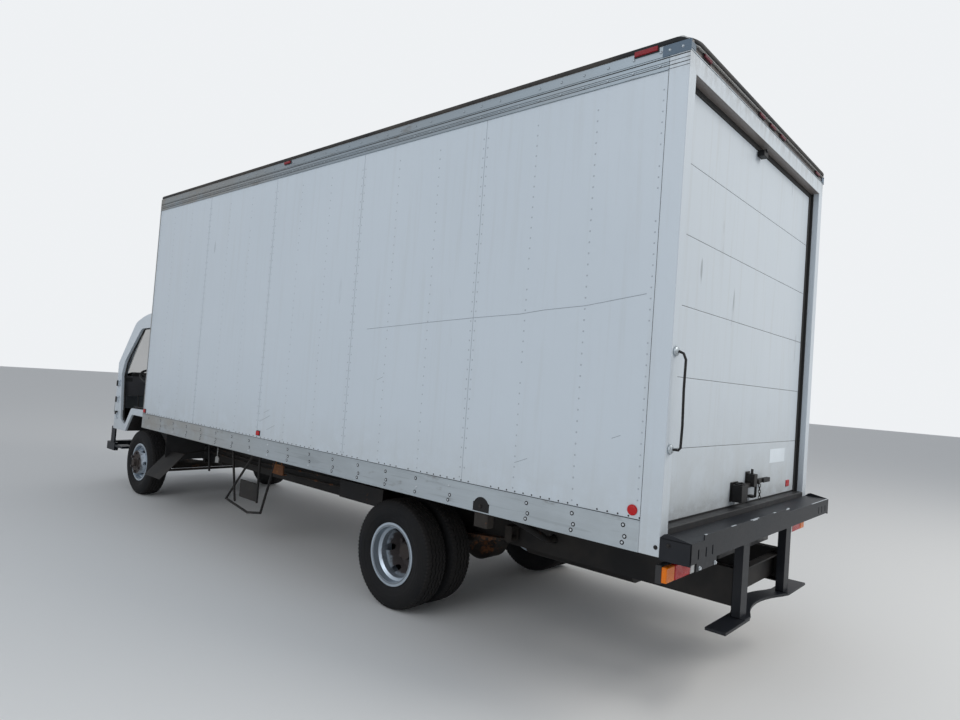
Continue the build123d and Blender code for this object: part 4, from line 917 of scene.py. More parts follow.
roof_low, roof_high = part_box("roof")
roof_half = roof_high[0]
roof_edge_z = 3.457
roof_base_z = roof_low[2] + 0.0005
roof_corner = 0.070
roof_droop, droop_length = 0.036, 0.060
crown = roof_high[2] - roof_edge_z
straight = roof_high[1] - roof_low[1] - 2 * roof_corner
corner_steps, straight_steps, half_steps = 5, 24, 12
ys = [roof_low[1] + step * roof_corner / corner_steps for step in range(corner_steps)]
ys += [roof_low[1] + roof_corner + straight * step / straight_steps for step in range(straight_steps + 1)]
ys += [roof_high[1] - roof_corner + step * roof_corner / corner_steps for step in range(1, corner_steps + 1)]
bm = bmesh.new()
roof_rings = []
for y in ys:
    in_front = max(roof_low[1] + roof_corner - y, 0.0)
    behind = max(y - roof_high[1] + roof_corner, 0.0)
    reach = max(in_front, behind)
    half = roof_half - roof_corner + math.sqrt(max(roof_corner ** 2 - reach ** 2, 0.0))
    droop = roof_droop * min(max((y - roof_high[1] + droop_length) / droop_length, 0.0), 1.0)
    ring = []
    for step in range(2 * half_steps + 1):
        x = half * (step / half_steps - 1)
        ring.append(bm.verts.new((x, y, roof_edge_z + crown * (1 - (x / roof_half) ** 2) - droop)))
    ring += [bm.verts.new((x, y, roof_base_z - droop * 0.6)) for x in (half, -half)]
    roof_rings.append(ring)
join_rings(bm, roof_rings)
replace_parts(settle(bm, "roof_skin", "chassis", "roof_dark", roof_sheet), "roof")
print("rear portal, door, bumper and roof made")

# %% [markdown]
# A radial truck tyre has a few straight grooves round the tread, kinked so that they grip, and short
# cuts across the shoulder. One closed profile is spun about the axle. The groove edges step from side
# to side as it turns, which makes the zigzag, and every third ring dips at the shoulder, which makes
# the cuts. Fine ridges run round the wall. The names and sizes that a real wall carries are left off.

# %% Tyres
tyre_low, tyre_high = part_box("tyre_front_left")
tyre_half = (tyre_high[0] - tyre_low[0]) / 2
groove_places = (-0.050, -0.017, 0.017, 0.050)
groove_half = 0.0050
groove_depth = 0.010
groove_kink = 0.0040
shoulder_cut = 0.0075
ring_count = 252
kink_rings = 6
cut_rings = 3


def tyre_profile():
    """Points of (outwards, radius, kink share, cut share) right round one tyre, from the outer bead."""
    wall = [(0.0836, 0.2035), (0.0836, 0.224), (0.0890, 0.232), (0.0905, 0.237), (0.0935, 0.240),
            (0.1010, 0.262), (0.1050, 0.282), (0.1062, 0.2835), (0.1074, 0.300), (0.1074, 0.309),
            (0.1062, 0.3105), (0.1060, 0.322), (0.1050, 0.3235), (0.1030, 0.340), (0.1015, 0.3415),
            (0.0975, 0.355)]
    shoulder = [(0.0915, 0.364, 0, 0.5), (0.0885, 0.372, 0, 1), (0.0830, 0.3785, 0, 1),
                (0.0740, 0.3818, 0, 0.6)]
    outer = [(out, radius, 0, 0) for out, radius in wall] + shoulder
    tread = []
    for place in reversed(groove_places):
        crown = tyre_radius - 0.0034 * (place / 0.07) ** 2
        tread += [(place + groove_half, crown, 1, 0), (place + groove_half * 0.6, crown - groove_depth, 1, 0),
                  (place - groove_half * 0.6, crown - groove_depth, 1, 0), (place - groove_half, crown, 1, 0)]
    inner = [(-out, radius, kink, cut) for out, radius, kink, cut in reversed(outer)]
    return outer + tread + inner


def add_tyre(bm, centre_x, axle_y):
    """One tyre about its axle, with its rings joined all the way round."""
    profile = tyre_profile()
    rings = []
    for step in range(ring_count):
        angle = 2 * math.pi * step / ring_count
        kink = groove_kink * (1 if (step // (kink_rings // 2)) % 2 else -1)
        cut = shoulder_cut if step % cut_rings == 0 else 0.0
        ring = []
        for out, radius, kink_share, cut_share in profile:
            r = radius - cut * cut_share
            ring.append(bm.verts.new((centre_x + out + kink * kink_share, axle_y + r * math.cos(angle),
                                      axle_z + r * math.sin(angle))))
        rings.append(ring)
    join_rings(bm, rings, closed=True)


pair_low, pair_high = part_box("tyres_rear_left")
tyre_sets = (
    # axle, body, node, centres on the left, axle's place, finish
    ("front", "wheel_front_", "tyre_front_", (tyre_low[0] + tyre_half,), front_axle_y, front_rubber),
    ("rear", "wheels_rear_", "tyres_rear_", (pair_low[0] + tyre_half, pair_high[0] - tyre_half),
     rear_axle_y, rear_rubber),
)
for axle, body, node_name, centres, axle_y, finish in tyre_sets:
    for side, facing in ((1, "left"), (-1, "right")):
        bm = bmesh.new()
        for centre_x in centres:
            add_tyre(bm, side * centre_x, axle_y)
        piece = settle(bm, "tyre_tread_" + axle + "_" + facing, body + facing, "tyre", finish, angle=28.0)
        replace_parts(piece, node_name + facing)
        print(piece.name, len(piece.data.polygons), "faces")

# %% [markdown]
# The roof's sheet is turned down all round over a dark, rounded edge band with soft corners. It is
# swept round the plan as one closed loop. The roof is slightly arched from side to side, so the band's
# upper points ride up with it along the front and the back.

# %% Roof band
band_radius = 0.090
band_steps = 8
band_profile = (
    # outwards, above the rail, follows the arch
    (-0.006, 0.003, 0), (0.0045, 0.002, 0), (0.0075, 0.006, 0), (0.0080, 0.019, 0), (0.0055, 0.0255, 0.6),
    (0.0000, 0.0295, 1), (-0.0100, 0.0310, 1), (-0.0380, 0.0300, 1), (-0.0400, 0.0260, 1),
    (-0.0060, 0.0220, 0),
)


def round_plan(low, high, radius, steps):
    """Points and outward directions round a rectangle with round corners."""
    corners = ((high[0] - radius, high[1] - radius, 0), (low[0] + radius, high[1] - radius, 90),
               (low[0] + radius, low[1] + radius, 180), (high[0] - radius, low[1] + radius, 270))
    stations = []
    for centre_x, centre_y, start in corners:
        for step in range(steps + 1):
            angle = math.radians(start + 90 * step / steps)
            facing = Vector((math.cos(angle), math.sin(angle)))
            stations.append((Vector((centre_x, centre_y)) + facing * radius, facing))
    return stations


def split_long(stations, longest):
    """The same loop with points added on its long sides."""
    finer = []
    for index, (point, facing) in enumerate(stations):
        finer.append((point, facing))
        following = stations[(index + 1) % len(stations)][0]
        cuts = int((following - point).length / longest)
        for cut in range(1, cuts + 1):
            finer.append((point.lerp(following, cut / (cuts + 1)), facing))
    return finer


def add_loop(bm, stations, profile, base_z, lift):
    """A closed profile swept round a closed plan."""
    rings = []
    for point, facing in stations:
        ring = []
        for out, above, share in profile:
            spot = point + facing * out
            rise = lift(spot, share)
            ring.append(bm.verts.new((spot.x, spot.y, base_z + above + rise)))
        rings.append(ring)
    join_rings(bm, rings, closed=True)


rear_drop = 0.018


def band_lift(spot, share):
    """The arch from side to side, less the droop towards the rear edge."""
    rear_share = min(max((spot.y - (roof_high[1] - band_radius)) / band_radius, 0.0), 1.0)
    return crown * (1 - (spot.x / roof_half) ** 2) * share * (1 - rear_share) - rear_drop * rear_share


plan = split_long(round_plan(roof_low, roof_high, band_radius, band_steps), 0.25)
bm = bmesh.new()
add_loop(bm, plan, band_profile, roof_low[2], band_lift)
band_paint = rusty_paint("band_paint", rgb(0.010, 0.011, 0.013), 0.93, 0.25, 0.55)
settle(bm, "roof_band", "chassis", "roof_dark", band_paint, angle=50.0)
print("roof band over", len(plan), "stations")

# %% [markdown]
# Old lamps are simple mouldings: a coloured lens with rounded edges on a dark base. The three-colour
# rear lamps, the clearance lamps under the roof band and the round reflectors are modelled over the
# plain solids of the frame and replace them.

# %% Lamps
lamp_back_y = rear_y - 0.040
lens_face_y = rear_y + 0.018
lamp_bottom_z = 0.740
lamp_top_z = lamp_bottom_z + 0.090
lens_inset = 0.006
lens_spans = (("tail_amber", amber_lens, 1.066, 1.160), ("tail_red", red_lens, 0.878, 1.062),
              ("tail_white", clear_lens, 0.825, 0.874))
for name, finish, inner_x, outer_x in lens_spans:
    row = (inner_x, outer_x, -0.040, 0.0, lamp_bottom_z + lens_inset, lamp_top_z - lens_inset)
    settle_boxes((row,), name, "chassis", "lens_red", finish, True, lens_face_y, bevel=0.006)
housing_rows = (
    # x, y behind the lamp's back and z, each from and to: the housing and its hanger
    (0.820, 1.165, 0.0, 0.032, lamp_bottom_z, lamp_top_z),
    (0.955, 1.005, 0.008, 0.014, lamp_top_z - 0.002, rail_bottom_z - 0.0003),
)
housing = settle_boxes(housing_rows, "tail_lamp_housings", "chassis", "lens_red", black_plastic, True,
                       lamp_back_y, bevel=0.004)
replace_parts(housing, "tail_lamps")

side_lamps = (
    # place along the truck, height of the middle, length, height, distance from the centre line
    (rear_y - 0.240, 3.424, 0.140, 0.034, rail_x), (rear_y - 3.600, 3.412, 0.100, 0.028, rail_x),
    (rear_y - 3.723, 1.079, 0.056, 0.044, skin_x), (rear_y - 6.120, 1.066, 0.056, 0.044, skin_x),
)
header_lamp_x = (-1.030, -0.200, 0.0, 0.200, 1.030)
lens_mesh, header_mesh, base_mesh = bmesh.new(), bmesh.new(), bmesh.new()
for side in (1, -1):
    for lamp_y, lamp_z, length, height, lamp_x in side_lamps:
        for bm, out, shrink in ((base_mesh, 0.006, 0.0), (lens_mesh, 0.0135, 0.004)):
            half_long, half_tall = length / 2 - shrink, height / 2 - shrink
            row = (0.0, out, -half_long, half_long, -half_tall, half_tall)
            add_boxes(bm, (row,), side, lamp_x, lamp_y, lamp_z)
header_lamp_z, header_half_long, header_half_tall = 3.402, 0.050, 0.014
for lamp_x in header_lamp_x:
    for bm, out, shrink in ((base_mesh, 0.005, 0.0), (header_mesh, 0.0135, 0.004)):
        half_long, half_tall = header_half_long - shrink, header_half_tall - shrink
        row = (-half_long, half_long, 0.0, out, -half_tall, half_tall)
        add_boxes(bm, (row,), 1, lamp_x, rear_y, header_lamp_z)
clearance = settle(lens_mesh, "clearance_lenses", "chassis", "lens_red", red_lens, bevel=0.003)
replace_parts(clearance, "marker_lamps")
settle(header_mesh, "header_lenses", "chassis", "lens_red", shaded_header_lens, bevel=0.003)
settle(base_mesh, "clearance_bases", "chassis", "hardware_black", black_plastic, bevel=0.002)

reflector_profile = ((0.0, 0.0), (0.0, 0.027), (0.006, 0.027), (0.008, 0.0245), (0.0095, 0.0225),
                     (0.0105, 0.012), (0.0108, 0.0005))
bm = bmesh.new()
for side in (1, -1):
    add_turned(bm, reflector_profile, (side * skin_x, rear_y - 0.156, 1.080), 28, side)
settle(bm, "round_reflectors", "chassis", "lens_red", red_lens)
print("lamps made")

# %% [markdown]
# The roll-up door runs in black seals. Its lock stands on the sill: a heavy housing, a latch above it
# with a long flat handle, and a steel staple. The grab handle on the left post is a bent rod between
# two turned bosses.

# %% Door hardware
flap_width = 0.046
seal_foot_z, seal_head_z = sill_z + 0.001, header_z - 0.001
seal_rows = (
    # x, y behind the door's face and z, each from and to: flap and lip at one side
    (door_half - flap_width, door_half - 0.0006, 0.0006, 0.005, seal_foot_z, seal_head_z),
    (door_half - 0.006, door_half - 0.0006, 0.004, 0.022, seal_foot_z, seal_head_z),
)
bm = bmesh.new()
for side in (1, -1):
    add_boxes(bm, seal_rows, side, back=door_y)
add_boxes(bm, ((-panel_half, panel_half, -0.016, -0.002, seal_foot_z, sill_z + 0.0075),
               (-panel_half, panel_half, -0.016, 0.006, header_z - 0.0315, seal_head_z)), back=door_y)
seals = settle(bm, "door_seals", "chassis", "hardware_black", seal_rubber, bevel=0.0015)
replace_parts(seals, "door_hardware")

lock_boxes = (
    # x, y behind the door's face and z, each from and to
    (0.062, 0.182, 0.000, 0.006, 1.043, 1.162),     # the housing's plate
    (0.070, 0.172, 0.004, 0.070, 1.046, 1.148),     # the housing
    (0.086, 0.116, 0.010, 0.060, 1.146, 1.160),     # two lugs on top of it
    (0.136, 0.158, 0.020, 0.066, 1.146, 1.156),
    (-0.090, 0.074, 0.014, 0.036, 1.118, 1.146),    # the bolt between housing and latch
    (-0.142, -0.068, 0.000, 0.006, 1.116, 1.214),   # the latch's plate
    (-0.134, -0.076, 0.004, 0.056, 1.122, 1.202),   # the latch
    (-0.385, -0.130, 0.028, 0.046, 1.138, 1.167),   # the flat handle
    (-0.385, -0.260, 0.046, 0.055, 1.138, 1.167),   # its grip
    (-0.178, -0.120, 0.000, 0.038, 1.046, 1.062),   # the staple's foot
)
lock_pins = (
    # x, y behind the door's face from and to, z from and to, radius, sides
    (0.124, 0.050, 0.050, 1.146, 1.166, 0.009, 12),
    (-0.086, 0.036, 0.036, 1.198, 1.234, 0.008, 12),
    (-0.150, 0.042, 0.042, 1.134, 1.052, 0.008, 10),
    (-0.160, 0.036, 0.062, 1.153, 1.153, 0.017, 16),
)
bm = bmesh.new()
face = door_y + 0.0004
add_boxes(bm, lock_boxes, back=face)
for x, y0, y1, z0, z1, radius, sides in lock_pins:
    add_bar(bm, (x, face + y0, z0), (x, face + y1, z1), radius, sides)
settle(bm, "door_lock", "chassis", "hardware_black", lock_paint, bevel=0.003)

grab_x = rail_x - 0.045
grab_low_z, grab_high_z, grab_out, grab_lean = 1.400, 1.880, 0.055, 0.004
grab_bends = (
    # x from the lower boss, y behind the post, z
    (0.0, 0.0, grab_low_z), (0.0, grab_out - 0.010, grab_low_z), (0.0, grab_out, grab_low_z + 0.012),
    (-0.006, grab_out, 1.52), (grab_lean, grab_out, 1.70), (0.0, grab_out, grab_high_z - 0.040),
    (0.003, grab_out - 0.012, grab_high_z - 0.010), (grab_lean, 0.020, grab_high_z),
    (grab_lean, 0.0, grab_high_z),
)
bm = bmesh.new()
add_tube(bm, [(grab_x + x, rear_y + y, z) for x, y, z in grab_bends], 0.0065, 12)
settle(bm, "grab_handle", "chassis", "hardware_black", lock_paint)
boss_profile = ((0.0, 0.0005), (0.0, 0.024), (0.004, 0.026), (0.010, 0.024), (0.014, 0.016),
                (0.018, 0.014), (0.020, 0.0005))
bm = bmesh.new()
for x, z in ((0.0, grab_low_z), (grab_lean, grab_high_z)):
    add_turned(bm, boss_profile, (grab_x + x, rear_y, z), 24, backwards=True)
settle(bm, "grab_bosses", "chassis", "hardware_black", rail_aluminium)

# Painted shade: the blank white sticker is drawn the same blue grey as the body.
sticker_finish = moulding("sticker_film", rgb(0.66, 0.72, 0.77), 60.0, 0.45)
stop_back = rear_y - 0.006 - door_y
door_fittings = (
    # name, slot, finish, bevel, boxes measured from the door's face
    ("blank_sticker", "body_white", sticker_finish, 0.0004, ((-0.850, -0.525, 0.0, 0.0012, 1.246, 1.342),)),
    ("door_reflector", "lens_red", red_lens, 0.002, ((-0.985, -0.915, 0.0, 0.006, 1.058, 1.104),)),
    ("top_stop", "hardware_black", lock_paint, 0.002, ((-0.010, 0.060, 0.004, 0.046, 3.205, 3.240),
                                                       (0.010, 0.040, 0.010, stop_back, 3.236, 3.250))),
)
for name, slot, finish, bevel, rows in door_fittings:
    settle_boxes(rows, name, "chassis", slot, finish, back=door_y, bevel=bevel)

joint_half, half_joint = door_half - 0.05, 0.0016
joint_heights = [door_foot_z + panel * panel_height for panel in range(1, panel_count)]
settle_boxes([(-joint_half, joint_half, -0.003, -0.0012, joint_z - half_joint, joint_z + half_joint)
              for joint_z in joint_heights],
             "door_joints", "chassis", "hardware_black", seal_rubber, back=door_y, smooth=False)
settle_boxes(((-rail_x + 0.004, rail_x - 0.004, 0.0, 0.0030, 3.3735, 3.3785),),
             "header_trim", "chassis", "rail_aluminium", worn_steel, back=rear_y, bevel=0.001)
print("door hardware made")

# Painted shade: near-black strips stand in for the shade in the top rail's grooves.
groove_shade_bands = ((3.3620, 0.0050), (3.3400, 0.0022), (3.3200, 0.0034), (3.3010, 0.0022))
bm = bmesh.new()
for side in (1, -1):
    for groove_z, tall in groove_shade_bands:
        add_box(bm, (side * rail_x - 0.0008, wall_front_y, groove_z - tall / 2),
                (side * rail_x + 0.0009, rear_y - 0.0006, groove_z + tall / 2))
settle(bm, "top_rail_groove_shade", "chassis", "hardware_black", seal_rubber, smooth=False)
cap_out = 0.0042
cap_rows = (
    # x, y behind the frame and z, each from and to: the cap and what wraps round the corner
    (rail_x - 0.0005, rail_x + cap_out, -0.148, cap_out, 3.3700, 3.4270),
    (rail_x - 0.050, rail_x - 0.0006, 0.0006, cap_out, 3.3810, 3.4130),
)
settle_boxes(cap_rows, "corner_caps", "chassis", "rail_aluminium", shaded_cap_metal, True, rear_y, smooth=False)
for side, facing in ((1, "left"), (-1, "right")):
    spots = [(side * (rail_x + cap_out), rear_y - away, 3.398) for away in (0.040, 0.110)]
    rivets("cap_rivets_" + facing, spots, facing, "chassis", worn_steel,
           0.0085, 0.0035, 0.0, 5)

# %% [markdown]
# A chain hangs from the latch, and steel shows where boots have worn the bumper's lip. Each chain
# link is a small ring, stretched to an oval, and every second one is turned a quarter.

# %% Chain, lip and bolts
bm = bmesh.new()
for index in range(5):
    way = (1, 0, 0) if index % 2 else (0, 1, 0)
    hang = (-0.185 - 0.003 * index, door_y + 0.054, 1.124 - 0.019 * index)
    add_link(bm, hang, (0, 0, 1), way, 0.013, 0.007, 0.0022)
settle(bm, "latch_chain", "chassis", "hardware_black", lock_paint)

lip_top_z = deck_z + lip_height
worn_tops = ((1.040, 1.064), (0.655, 0.720), (0.30, 0.43), (0.00, 0.045), (-0.262, -0.225))
worn_faces = ((-0.262, -0.20), (0.33, 0.40))
worn_rows = [(x0, x1, -0.0065, 0.0006, lip_top_z - 0.0012, lip_top_z + 0.0010) for x0, x1 in worn_tops]
worn_rows += [(x0, x1, -0.0005, 0.0007, lip_top_z - 0.007, lip_top_z) for x0, x1 in worn_faces]
worn_rows.append((-1.214, -0.80, -0.009, -0.001, deck_z - 0.0006, deck_z + 0.0009))
settle_boxes(worn_rows, "worn_lip", "chassis", "hardware_black", worn_steel, back=lip_y, smooth=False)

bolt_profile = ((0.0, 0.0005), (0.0, 0.011), (0.002, 0.011), (0.0025, 0.0075), (0.008, 0.0075),
                (0.009, 0.006), (0.009, 0.0005))
bm = bmesh.new()
for bolt_x, bolt_z in ((1.116, 0.852), (0.928, 0.850)):
    add_turned(bm, bolt_profile, (bolt_x, lip_y, bolt_z), 12, backwards=True)
settle(bm, "bumper_bolts", "chassis", "hardware_black", worn_steel)
bm = bmesh.new()
for side in (1, -1):
    add_turned(bm, bolt_profile, (side * bumper_high[0], 3.945, 0.946), 14, side)
    add_turned(bm, bolt_profile, (side * rail_x, 3.880, 0.925), 10, side)
settle(bm, "end_plate_bolts", "chassis", "hardware_black", lock_paint)
print("chain, lip and bolts made")

# %% [markdown]
# The rear flange laps over the side sheets with its own close row of rivets, and so does the front
# corner. A dark line shows where the sheets meet the flange. The roof has rows along both edges.

# %% Flange rivets and joints
flange_pitch, front_pitch, roof_pitch = 0.056, 0.075, 0.10
joints = bmesh.new()
for side, facing in ((1, "left"), (-1, "right")):
    rivet_x = side * (skin_x + 0.0006)
    spots = [(rivet_x, flange_y - 0.022, 1.075 + flange_pitch * row) for row in range(39)]
    spots += [(rivet_x, wall_front_y + 0.030, 1.060 + flange_pitch * row) for row in range(40)]
    rivets("flange_rivets_" + facing, spots, facing, "chassis", rivet_paint,
           0.0046, 0.0014, 0.10, 3)
    dots = [(rivet_x, wall_front_y + 0.05 + 0.0605 * column, 1.047) for column in range(100)]
    rivets("rail_joint_dots_" + facing, dots, facing, "chassis", seal_rubber,
           0.0052, 0.0014, 0.12, 5)
    add_boxes(joints, ((-0.0006, 0.0009, wall_front_y, flange_y, 1.0352, 1.0382),
                       (-0.0006, 0.0006, flange_y - 0.0035, flange_y + 0.0005, 1.036, 3.298)),
              across=side * skin_x)
front_face_y = wall_low[1] - 0.0006
front_spots = [(x * 0.386, front_face_y, 1.00 + front_pitch * row) for x in range(-2, 3) for row in range(32)]
front_spots += [(side * 1.150, front_face_y, 1.00 + 0.060 * row) for side in (1, -1) for row in range(40)]
rivets("front_rivets", front_spots, "front", "chassis", side_paint, 0.0058, 0.0013, 0.03, 8)
roof_spots = [(side * 1.175, roof_low[1] + 0.08 + roof_pitch * row, roof_edge_z + 0.0015)
              for side in (1, -1) for row in range(61)]
settle(joints, "flange_joints", "chassis", "hardware_black", seal_rubber, smooth=False)
rivets("roof_rivets", roof_spots, "up", "chassis", shaded_top_aluminium, 0.007, 0.002, 0.03, 9)

# %% [markdown]
# Under the truck: splash plates beside and behind the front wheels, the engine's sump and the gearbox
# pan, brake pipes along the left rail, brackets behind the cab, and the fuel filler in its notch of the
# bottom rail. Thin scratches run along the left side.

# %% Underbody
splash_outline = ((-3.40, 0.500), (-2.22, 0.500), (-2.22, 0.700), (-2.55, 0.715), (-3.40, 0.715))
sump_outline = ((-3.02, 0.470), (-2.98, 0.395), (-2.50, 0.395), (-2.36, 0.452), (-1.95, 0.452),
                (-1.92, 0.470))
under_rows = (
    # x, y and z, each from and to: a cross bar and two boxes behind it
    (-0.41, 0.41, -2.42, -2.36, 0.47, 0.56),
    (0.30, 0.40, -2.28, -1.98, 0.46, 0.60),
    (-0.40, -0.27, -2.28, -1.98, 0.44, 0.58),
)
bm = bmesh.new()
for low_x in (0.446, -0.450):
    add_prism(bm, splash_outline, low_x, low_x + 0.004)
add_prism(bm, sump_outline, -0.150, 0.150)
add_boxes(bm, under_rows)
settle(bm, "sump_and_splash_plates", "chassis", "chassis_black", chassis_paint, bevel=0.004)
settle_boxes(((0.470, 0.930, -2.288, -2.283, 0.505, 0.8796),), "wheel_splash_panels", "chassis",
             "chassis_black", black_plastic, True, bevel=0.002)
bm = bmesh.new()
add_tube(bm, ((0.455, -2.2, 0.66), (0.455, -1.2, 0.62), (0.455, 0.2, 0.655), (0.455, 1.3, 0.64)), 0.008, 8)
add_tube(bm, ((0.470, -2.2, 0.60), (0.470, -1.0, 0.585), (0.470, 0.6, 0.60)), 0.010, 8)
settle(bm, "brake_pipes", "chassis", "hardware_black", axle_paint)

bm = bmesh.new()
add_boxes(bm, ((0.940, 0.956, 0.016, 0.188, 0.700, 0.786), (0.900, 0.948, 0.030, 0.172, 0.694, 0.704)))
for rod_y in (0.060, 0.150):
    add_bar(bm, (0.946, rod_y, 0.786), (0.946, rod_y, 0.879), 0.007, 8)
settle(bm, "hanging_bracket", "chassis", "rusty_steel", orange_rust, bevel=0.002)
tag_outline = ((-1.06, 0.645), (-1.00, 0.650), (-0.99, 0.700), (-1.03, 0.717), (-1.06, 0.700))
bm = bmesh.new()
add_prism(bm, tag_outline, 0.944, 0.952)
add_bar(bm, (0.948, -1.03, 0.712), (0.948, -1.03, 0.800), 0.004, 8)
settle(bm, "loose_tag", "chassis", "rail_aluminium", rail_aluminium, smooth=False)

notch_foot_z = 0.8795
turns = [math.radians(degrees) for degrees in range(0, 181, 15)]
arch = [(filler_y + filler_radius * math.cos(turn), filler_z + filler_radius * math.sin(turn))
        for turn in turns]
notch_shade = [(filler_y + filler_radius, notch_foot_z), *arch, (filler_y - filler_radius, notch_foot_z)]
# Painted shade: a flat dark plate on the rail stands in for the shade inside the filler notch.
bm = bmesh.new()
add_prism(bm, notch_shade, rail_x - 0.001, rail_x + 0.0012)
settle(bm, "filler_notch_shade", "chassis", "hardware_black", lock_paint, smooth=False)
settle_boxes(((1.150, 1.214, 2.700, 2.806, 0.790, 0.884),), "filler_box", "chassis", "rusty_steel",
             axle_paint, bevel=0.006)
cap_profile = ((0.0, 0.0005), (0.0, 0.036), (0.012, 0.040), (0.020, 0.036), (0.022, 0.012),
               (0.034, 0.010), (0.036, 0.0005))
bm = bmesh.new()
add_turned(bm, cap_profile, (rail_x - 0.026, filler_y - 0.004, 0.918), 28)
settle(bm, "filler_cap", "chassis", "rusty_steel", axle_paint)

scratch_x = skin_x + 0.0003
scratch = ((-0.156, 2.164), (-0.512, 2.111), (-0.781, 2.093), (-0.955, 2.072), (-1.324, 2.053),
           (-1.703, 2.028), (-2.358, 1.981))
short_scratches = (
    # y from the rear frame, z, length
    (-0.30, 1.42, 0.05), (-0.92, 1.21, 0.09), (-2.20, 1.62, 0.06), (-3.60, 1.12, 0.12),
    (-3.72, 1.18, 0.16), (-3.66, 1.26, 0.08),
)
bm = bmesh.new()
add_tube(bm, [(scratch_x, y + rear_y, z) for y, z in scratch], 0.0016, 6)
for y, z, length in short_scratches:
    start_y = rear_y + y
    add_tube(bm, ((scratch_x, start_y, z), (scratch_x, start_y + length, z + length * 0.4)), 0.0012, 6)
settle(bm, "side_scratches", "chassis", "body_white", seam_grey)
print("underbody made")

# %% [markdown]
# The front bumper is low and black, with a step at each end, and stays hang from the cab's corners.

# %% Front bumper
front_y, beam_half, beam_end_y = -4.059, 0.955, -3.735
outer_edge = (
    # x inwards from the beam's end, y
    (0.0, beam_end_y), (0.0, front_y + 0.075), (0.040, front_y + 0.045), (0.260, front_y + 0.004),
    (0.300, front_y),
)
inner_edge = ((0.050, beam_end_y), (0.050, front_y + 0.110))
bumper_plan = [(inwards - beam_half, y) for inwards, y in outer_edge]
bumper_plan += [(beam_half - inwards, y) for inwards, y in reversed(outer_edge)]
bumper_plan += [(beam_half - inwards, y) for inwards, y in inner_edge]
bumper_plan += [(inwards - beam_half, y) for inwards, y in reversed(inner_edge)]
beam_rows = (
    # x, y and z, each from and to: arm, its foot, step and stay
    (0.330, 0.400, front_y + 0.100, -3.835, 0.500, 0.545),
    (0.330, 0.400, -3.870, -3.832, 0.500, 0.600),
    (0.800, 0.950, -3.736, -3.500, 0.480, 0.508),
    (0.925, 0.945, -3.900, -3.780, 0.525, 0.735),
)
bm = bmesh.new()
add_prism(bm, bumper_plan, 0.4305, 0.530, axis=2)
for side in (1, -1):
    add_boxes(bm, beam_rows, side)
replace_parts(settle(bm, "front_beam", "chassis", "cab_white", bumper_paint, bevel=0.004), "front_bumper")

# %% [markdown]
# The cab's inside shows through the open doorway: seats, steering wheel, pedals and a dark lining. A
# steering wheel is a ring with three spokes. Pads are stuffed: each starts as a small block, is cut
# into even cells, and swells as cloth under pressure. How far a point may move is capped, and the
# seams are drawn in afterwards.


# %% Stuffed pads
def apply_all(piece):
    """What the modifiers make becomes the piece's own mesh."""
    made = bpy.data.meshes.new_from_object(piece.evaluated_get(bpy.context.evaluated_depsgraph_get()))
    piece.modifiers.clear()
    piece.data = made


def swell(pads, cap, frames=20):
    """Cloth under pressure, in one run for all pads."""
    scene = bpy.context.scene
    starts = {}
    for piece in pads:
        cells = piece.modifiers.new("cells", "REMESH")
        cells.mode = "VOXEL"
        cells.voxel_size = 0.0085
        apply_all(piece)
        starts[piece.name] = [vertex.co.copy() for vertex in piece.data.vertices]
        stuffing = piece.modifiers.new("stuffing", "CLOTH")
        stuffing.settings.quality = 5
        stuffing.settings.use_pressure = True
        stuffing.settings.uniform_pressure_force = 4.0
        stuffing.settings.effector_weights.gravity = 0.0
        stuffing.point_cache.frame_start = 1
        stuffing.point_cache.frame_end = frames
    for frame in range(1, frames + 1):
        scene.frame_set(frame)
    for piece in pads:
        apply_all(piece)
    scene.frame_set(1)
    for piece in pads:
        for vertex, start in zip(piece.data.vertices, starts[piece.name]):
            moved = vertex.co - start
            if moved.length > cap:
                vertex.co = start + moved * (cap / moved.length)


def sew(piece, axis, places, facing, depth=0.007, width=0.008):
    """Channels across a pad, where a seam pulls its cover in."""
    mesh = piece.data
    for vertex in mesh.vertices:
        towards = max(vertex.normal.dot(Vector(facing)), 0.0)
        pull = sum(math.exp(-((vertex.co[axis] - place) / width) ** 2) for place in places)
        vertex.co -= Vector(facing) * depth * pull * towards
    mesh.shade_smooth()
    finer = piece.modifiers.new("finer", "SUBSURF")
    finer.levels = 1
    finer.render_levels = 1


shy = 0.014
pad_rows = (
    # name, x from and to, y from and to, z from and to, seam axis, seams as shares, facing
    ("driver_cushion", 0.418, 0.872, -2.995, -2.625, 1.120, 1.238, 0, (0.22, 0.78), (0, 0, 1)),
    ("driver_back", 0.428, 0.862, -2.625, -2.503, 1.245, 1.610, 2, (0.35, 0.68), (0, -1, 0)),
    ("driver_headrest", 0.520, 0.770, -2.610, -2.510, 1.640, 1.775, 2, (0.5,), (0, -1, 0)),
    ("bench_cushion", -0.878, -0.252, -2.995, -2.625, 1.120, 1.238, 0, (0.14, 0.5, 0.86), (0, 0, 1)),
    ("bench_back", -0.872, -0.258, -2.625, -2.503, 1.245, 1.690, 2, (0.30, 0.64), (0, -1, 0)),
)
pads = []
for name, x0, x1, y0, y1, z0, z1, axis, shares, facing in pad_rows:
    bm = bmesh.new()
    add_box(bm, (x0 + shy, y0 + shy, z0 + shy), (x1 - shy, y1 - shy, z1 - shy))
    bmesh.ops.bevel(bm, geom=bm.edges[:], offset=0.022, segments=3, affect="EDGES")
    pads.append(settle(bm, name, "cab", "seat_fabric", seat_cloth))
swell(pads, shy + 0.006)
for piece, (name, x0, x1, y0, y1, z0, z1, axis, shares, facing) in zip(pads, pad_rows):
    start, end = ((x0, x1), (y0, y1), (z0, z1))[axis]
    sew(piece, axis, [start + (end - start) * share for share in shares], facing)
print("pads", [len(piece.data.vertices) for piece in pads])

